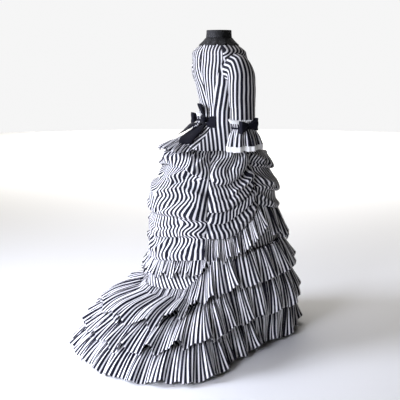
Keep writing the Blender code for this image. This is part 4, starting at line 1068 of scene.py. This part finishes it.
def build_elbow_frill(side, sign):
    """The gathered frill with a white heading, and the white band on its hem."""
    turns = ring_turns(ELBOW_FRILL_COLUMNS, math.pi)
    main = np.cos(ELBOW_WAVES * turns) * (1 + ripple(turns, ELBOW_UNEVEN))
    between = 0.45 * np.cos(ELBOW_BETWEEN * turns + 1.2 * np.sin(3 * turns) + 1.0)
    fine = np.cos(ELBOW_FINE * turns + 2 * np.sin(5 * turns))
    rows = through_rows(ELBOW_FRILL, ROWS_PER_FRILL_ROW)
    rings = []
    for row in rows:
        off_waist = abs(row[0] - RIBBON_HEIGHT)
        ring = arm_ring(row, sign, turns, (main + between) * row[5])
        out = ring - ring.mean(axis=0)
        out /= np.linalg.norm(out, axis=1, keepdims=True)
        gathers = ELBOW_GATHER * fine * math.exp(-(off_waist / ELBOW_GATHER_REACH) ** 2)
        ruffle = ELBOW_RUFFLE * fine * max(0.0, (row[0] - RIBBON_HEIGHT) / ELBOW_RUFFLE_REACH)
        ring = ring + out * (gathers + ruffle)[:, None] + np.array([0, 0, 0.5]) * ruffle[:, None]
        rings.append(elbow_hang(ring, turns, row[0]))
    points = np.array(rings)
    heading = np.repeat(rows[:-1, 0][:, None] > HEADING_WHITE, len(turns), axis=1)
    cloth("elbow_frill_" + side, points, STRIPE, closed=True,
          trim=(WHITE, heading))
    ends = ((ELBOW_FRILL[-1][0] - SEAM_GAP,) + ELBOW_FRILL[-1][1:], ELBOW_BAND_HEM)
    points = np.array([elbow_hang(arm_ring(row, sign, turns, (main + between) * row[5]), turns, row[0])
                       for row in np.linspace(*ends, ELBOW_BAND_ROWS)])
    cloth("elbow_band_" + side, points, WHITE, closed=True)


# The ribbon round the elbow: its middle, half sizes of its ring, thickness, half width, gap to the frill
RIBBON_CENTRE = (0.2475, 0.018)
RIBBON_HALF = (0.0467, 0.0548)
RIBBON_THICK = 0.0015
RIBBON_HALF_WIDTH = 0.004
RIBBON_CLEAR = 0.0032
RIBBON_COLUMNS, RIBBON_ROWS = 80, 5
# How far the surface of a ribbon waves
RIBBON_WAVE = 0.0012
# The bow on the ribbon: how far behind its middle it sits, the reach and fullness of its loops
BOW_BEHIND = 0.014
BOW_REACH = 0.044
BOW_FULLNESS = 0.0135
BOW_OFF_ARM = 0.0145
# Half sizes of its pinched middle, how much wider its loops are, their tilt, and its place on the arm
BOW_PINCH = (0.0016, 0.007)
BOW_SPREAD = 0.021
BOW_TILT = 0.14
BOW_RISE = 0.013
BOW_CLOSER = 0.004
BOW_WAVE = 0.002
BOW_COLUMNS, BOW_ROWS = 96, 13
# Its knot: half sizes, and how far out it sits
BOW_KNOT = (0.0045, 0.0075, 0.009)
BOW_KNOT_OFF_ARM = 0.0048
# Its tail: height, distance from the ribbon's face, half width
BOW_TAIL = ((1.0206, 0.0036, 0.005), (0.990, 0.0230, 0.009), (0.955, 0.0396, 0.010))
ROWS_PER_TAIL_ROW, BOW_TAIL_COLUMNS = 10, 9


def bow_middle(sign):
    """Where the bow sits from front to back."""
    return RIBBON_CENTRE[1] + BOW_BEHIND + arm_shift(sign, RIBBON_HEIGHT)


def build_elbow_ribbon(side, sign):
    """A narrow ribbon round the gathers, tied in a bow on the outer side of the arm."""
    turns = ring_turns(RIBBON_COLUMNS)
    frill = np.array(sorted(ELBOW_FRILL))
    rings = []
    for height in np.linspace(RIBBON_HEIGHT + RIBBON_HALF_WIDTH, RIBBON_HEIGHT - RIBBON_HALF_WIDTH,
                              RIBBON_ROWS):
        middle, back = (np.interp(height, frill[:, 0], frill[:, column]) for column in (1, 2))
        rings.append(arm_ring((height, middle, back, *RIBBON_HALF), sign, turns, RIBBON_CLEAR + RIBBON_THICK))
    points = np.array(rings)
    ribbon("elbow_ribbon_" + side, points, closed=True)
    face = RIBBON_CENTRE[0] + RIBBON_HALF[0] + RIBBON_CLEAR + RIBBON_THICK - BOW_CLOSER
    build_bow("elbow_bow_" + side, sign, face)
    centre = (-sign * (face + BOW_KNOT_OFF_ARM), bow_middle(sign), RIBBON_HEIGHT + 0.5 * BOW_RISE)
    build_knot("elbow_knot_" + side, centre, BOW_KNOT)
    rows = through_rows(BOW_TAIL, ROWS_PER_TAIL_ROW)
    across = np.linspace(-1, 1, BOW_TAIL_COLUMNS)
    points = np.array([[(-sign * (face + out + RIBBON_THICK + RIBBON_WAVE * math.cos(3 * x)),
                         bow_middle(sign) + x * half, height) for x in across]
                       for height, out, half in rows])
    ribbon("elbow_tail_" + side, points)


def build_bow(name, sign, face):
    """Both loops of the bow as one band, pinched at the middle."""
    turns = ring_turns(BOW_COLUMNS)
    half_gap, half_knot = BOW_PINCH
    along = BOW_REACH * np.sin(turns)
    swell = np.abs(np.sin(turns)) ** 0.8
    out = face + BOW_OFF_ARM + (BOW_FULLNESS * swell + half_gap) * np.cos(turns) / np.sqrt(
        0.03 + np.cos(turns) ** 2)
    half_width = half_knot + BOW_SPREAD * swell
    rows = []
    for x in np.linspace(1, -1, BOW_ROWS):
        height = RIBBON_HEIGHT + BOW_RISE - BOW_TILT * along + x * half_width
        pleat = RIBBON_WAVE * math.cos(7 * x) * (1 - swell) + BOW_WAVE * np.sin(5 * x + 4 * turns)
        rows.append(np.stack([-sign * (out + pleat), bow_middle(sign) + along, height], axis=-1))
    ribbon(name, np.array(rows), closed=True)


# Depth of the grooves round a knot, and how square it is, with 1 for round
KNOT_GROOVE = 0.07
KNOT_SQUARE = 0.7


def build_knot(node, centre, half):
    """A small rounded knot of ribbon: half gives its half sizes."""
    bm = bmesh.new()
    bmesh.ops.create_icosphere(bm, subdivisions=4, radius=1.0)
    for vertex in bm.verts:
        size = 1 - KNOT_GROOVE * math.cos(9 * vertex.co.z + 2 * vertex.co.x)
        for axis in range(3):
            value = vertex.co[axis]
            rounded = math.copysign(abs(value) ** KNOT_SQUARE, value)
            vertex.co[axis] = centre[axis] + size * half[axis] * rounded
    bmesh.ops.translate(bm, verts=bm.verts, vec=(0, 0, -WAIST_HEIGHT))
    mesh = bpy.data.meshes.new(node + "_cloth")
    bm.to_mesh(mesh)
    bm.free()
    mesh.shade_smooth()
    mesh.materials.append(VELVET)
    add_piece(node, mesh)


# Sash: thickness, gap to the bodice, folds across it, and how far its tails wave
SASH_THICK = 0.0015
SASH_CLEAR = 0.0041
SASH_FOLDS = 2.5
TAIL_WAVE = 0.0015
SASH_ROWS, SASH_COLUMNS = 14, 60
TAIL_ROWS, TAIL_COLUMNS = 34, 11
LOOP_COLUMNS, LOOP_ROWS = 60, 9
# Its outline: angle from the back's middle, upper edge, lower edge
SASH_OUTLINE = ((0.3, 1.058, 1.034), (16, 1.064, 1.026), (34, 1.069, 1.016), (52, 1.071, 1.014))
# Tails: share of the length, angle, height of the middle, half width in degrees, how far off the basque
LONG_TAIL = ((0.0, 173, 1.029, 6, 0.0076), (0.35, 169, 1.002, 9, 0.016), (0.7, 166, 0.972, 7.5, 0.011),
             (1.0, 161, 0.948, 7, 0.006))
SHORT_TAIL = ((0.0, 187, 1.029, 6, 0.0076), (0.4, 191, 1.004, 7.5, 0.032), (1.0, 196, 0.970, 6, 0.012))
SASH_HEIGHT = 1.045
# Its knot: distance off the bodice, height, half sizes
SASH_KNOT = (0.0196, 1.052, (0.0125, 0.0105, 0.0135))
# Loop of the bow: start, distance off the bodice, half height, fullness, lean, skew, width and spread
LOOP_START = (0.006, 1.0653)
LOOP_OFF_BODICE = 0.0141
LOOP_HALF_HEIGHT = 0.031
LOOP_FULLNESS = 0.0065
LOOP_LEAN = 0.30
LOOP_SKEW = 0.25
LOOP_HALF_WIDTH = 0.010
LOOP_SPREAD = 0.12
# How much wider than its table each tail is at its middle
TAIL_WIDER = {"sash_tail_long": 0.5, "sash_tail_short": 1.2}


def build_sash():
    """A half sash from the side-back seams, knotted at the middle of the back."""
    turn, upper, lower = zip(*SASH_OUTLINE)
    down = rows_down(SASH_ROWS)
    for side, sign in (("right", -1), ("left", 1)):
        offsets = np.linspace(turn[0], turn[-1], SASH_COLUMNS)[None]
        top, bottom = smooth_through(turn, upper, offsets), smooth_through(turn, lower, offsets)
        heights = top * (1 - down) + bottom * down
        fold = RIBBON_WAVE * np.cos(2 * math.pi * SASH_FOLDS * down + 0.05 * offsets) * np.sin(math.pi * down)
        angles = np.broadcast_to(180 + sign * offsets, heights.shape)
        points = TORSO.off(angles, heights, SASH_CLEAR + SASH_THICK + fold)
        ribbon("sash_" + side, points)
    waist_back = float(TORSO.radius(180, SASH_HEIGHT))
    off_bodice, height, half = SASH_KNOT
    build_knot("sash_knot", (0, waist_back + off_bodice, height), half)
    for name, tail in (("sash_tail_long", LONG_TAIL), ("sash_tail_short", SHORT_TAIL)):
        share, middle, heights, half, lift = (np.array(column) for column in zip(*tail))
        down = np.linspace(0, 1, TAIL_ROWS)
        across = np.linspace(-1, 1, TAIL_COLUMNS)[None]
        wider = 1 + TAIL_WIDER[name] * np.sin(math.pi * down[:, None])
        half_width = smooth_through(share, half, down)[:, None] * wider
        grid = smooth_through(share, middle, down)[:, None] + half_width * across
        rows = np.interp(down, share, heights)[:, None] + 0 * across
        waved = TAIL_WAVE * np.cos(4 * across + 3 * down[:, None])
        stand = smooth_through(share, lift, down)[:, None] + waved
        points = TORSO.off(grid, rows, stand)
        ribbon(name, points)
    build_sash_loop(waist_back)


def build_sash_loop(waist_back):
    """The upright loop of the sash's bow: a band that turns back on itself."""
    turns = ring_turns(LOOP_COLUMNS)
    height = LOOP_HALF_HEIGHT * (1 - np.cos(turns))
    swell = LOOP_FULLNESS * np.sin(turns) * (1 - 0.4 * np.cos(turns))
    start_x, start_height = LOOP_START
    middle = np.stack([start_x + LOOP_SKEW * height,
                       waist_back + LOOP_OFF_BODICE + LOOP_LEAN * height + swell,
                       start_height + height], axis=-1)
    half_width = LOOP_HALF_WIDTH + LOOP_SPREAD * height
    rows = [middle + np.array([1.0, 0, 0]) * x * half_width[:, None]
            for x in np.linspace(-1, 1, LOOP_ROWS)]
    ribbon("sash_loop", np.array(rows), closed=True)


# Stand collar: height, how much closer to the neck than the bodice's top ring
COLLAR_ROWS = ((1.466, 0.003), (1.448, 0.002), (NECK_HEIGHT + 0.0004, 0.0))
COLLAR_COLUMNS, ROWS_PER_COLLAR_ROW = 160, 5
# Lace edging on the shoulders
LACE_TOP = 1.4285
LACE_DROP = 0.029
LACE_SCALLOPS = 14
POINTS_PER_SCALLOP = 24
LACE_ROWS = 12
SCALLOP_DEPTH = 0.006
LACE_OFF_BODICE = 0.0029
LACE_RUFFLE = 0.0018


def build_collar():
    """A stand collar, and the lace edging that lies on the shoulders below it."""
    angles = np.linspace(0, 360, COLLAR_COLUMNS, endpoint=False)
    turn = np.radians(angles)
    neck = TORSO.radius(angles, NECK_HEIGHT)
    rings = [np.stack([-(neck - closer) * np.sin(turn), -(neck - closer) * np.cos(turn),
                       np.full(len(turn), height)], axis=-1) for height, closer in COLLAR_ROWS]
    points = through_rows(rings, ROWS_PER_COLLAR_ROW)
    cloth("collar", points, LACE,
          closed=True)
    angles = np.linspace(0, 360, LACE_SCALLOPS * POINTS_PER_SCALLOP, endpoint=False)[None]
    down = rows_down(LACE_ROWS)
    drop = LACE_DROP + SCALLOP_DEPTH * np.abs(np.sin(np.radians(angles) * LACE_SCALLOPS / 2))
    heights = LACE_TOP - drop * down
    ruffle = LACE_RUFFLE * np.cos(np.radians(angles) * LACE_SCALLOPS) * down
    points = TORSO.off(np.broadcast_to(angles, heights.shape), heights, LACE_OFF_BODICE + ruffle)
    cloth("collar_lace", points, LACE,
          closed=True)


def build_dress():
    build_underskirt()
    for number, name, waves, stand_out, depth in FLOUNCES:
        build_flounce(number, name, waves, stand_out, depth)
    build_overskirt()
    build_bodice()
    build_basque_frill()
    for side, sign in SIDES:
        build_sleeve(side, sign)
        build_elbow_frill(side, sign)
        build_elbow_ribbon(side, sign)
    build_sash()
    build_collar()


# The view of the photo
CAMERA_PLACE = (-3.0737, 1.8762, 0.290)
CAMERA_AIM = (0.044, 0.0762, -0.383)
CAMERA_LENS = 67.5
FLOOR_RADIUS = 11
# The room: brightness of the backdrop, colour of its light, the side where it is dim, its strengths
BACKDROP = 0.92
ROOM_LIGHT = (1.0, 0.955, 0.895)
DIM_SIDE = (-0.79, -0.60, 0.10)
BRIGHT_SIDE_LIGHT, DIM_SIDE_LIGHT = 0.72, 0.02
# Soft lights: name, place, aim, size, power in watts, colour, spread in degrees
LIGHTS = (
    ("window", (1.3, 4.2, 1.2), (0.0, 0.4, -0.8), 2.0, 80, (0.79, 0.84, 1.0), 90),
    ("train side", (-1.9, 3.6, 0.5), (-0.1, 0.6, -1.1), 1.2, 11.5, (0.83, 0.86, 1.0), 45),
    ("backdrop", (7.0, -4.4, 4.5), (6.6, -4.0, -1.04), 5.0, 420, (1.0, 0.99, 0.97), 120),
)


def build_stage():
    """A pale floor, a pale room that is dim on one side, and soft lights."""
    bpy.ops.mesh.primitive_circle_add(vertices=96, radius=FLOOR_RADIUS, fill_type="NGON",
                                      location=(0, 0, -WAIST_HEIGHT))
    floor = bpy.context.object
    floor.name = "floor"
    paper, nodes, links = new_material("pale floor")
    set_inputs(nodes["Principled BSDF"], Base_Color=(0.93, 0.93, 0.93, 1), Roughness=0.9)
    floor.data.materials.append(paper)
    world = bpy.data.worlds.new("studio")
    world.use_nodes = True
    nodes, links = world.node_tree.nodes, world.node_tree.links
    way = nodes.new("ShaderNodeTexCoord")
    towards = nodes.new("ShaderNodeVectorMath")
    towards.operation = "DOT_PRODUCT"
    towards.inputs[1].default_value = DIM_SIDE
    links.new(way.outputs["Generated"], towards.inputs[0])
    dim = smooth_range(nodes, links, towards.outputs["Value"], From_Min=-0.45, From_Max=0.40,
                       To_Min=BRIGHT_SIDE_LIGHT, To_Max=DIM_SIDE_LIGHT)
    seen = nodes.new("ShaderNodeLightPath").outputs["Is Camera Ray"]
    backdrop = maths(nodes, links, "MULTIPLY", seen, BACKDROP)
    strength = maths(nodes, links, "MAXIMUM", dim, backdrop)
    links.new(strength, nodes["Background"].inputs["Strength"])
    links.new(colour_mix(nodes, links, seen, ROOM_LIGHT, (1, 1, 1)), nodes["Background"].inputs["Color"])
    bpy.context.scene.world = world
    bpy.context.scene.view_settings.view_transform = "Standard"
    for name, place, aim, size, power, colour, spread in LIGHTS:
        lamp = bpy.data.lights.new(name, "AREA")
        lamp.shape = "SQUARE"
        lamp.size = size
        lamp.energy = power
        lamp.color = colour
        lamp.spread = math.radians(spread)
        aimed_object(name, lamp, place, aim)


def aimed_object(name, data, place, aim):
    """A light or camera at a place, turned to what it is aimed at."""
    thing = bpy.data.objects.new(name, data)
    thing.location = place
    thing.rotation_euler = (Vector(aim) - Vector(place)).to_track_quat("-Z", "Y").to_euler()
    bpy.context.scene.collection.objects.link(thing)
    return thing


def build_camera():
    lens = bpy.data.cameras.new("photo view")
    lens.lens = CAMERA_LENS
    lens.sensor_width = 36
    bpy.context.scene.camera = aimed_object("photo view", lens, CAMERA_PLACE, CAMERA_AIM)


build_dress()
build_stage()
build_camera()
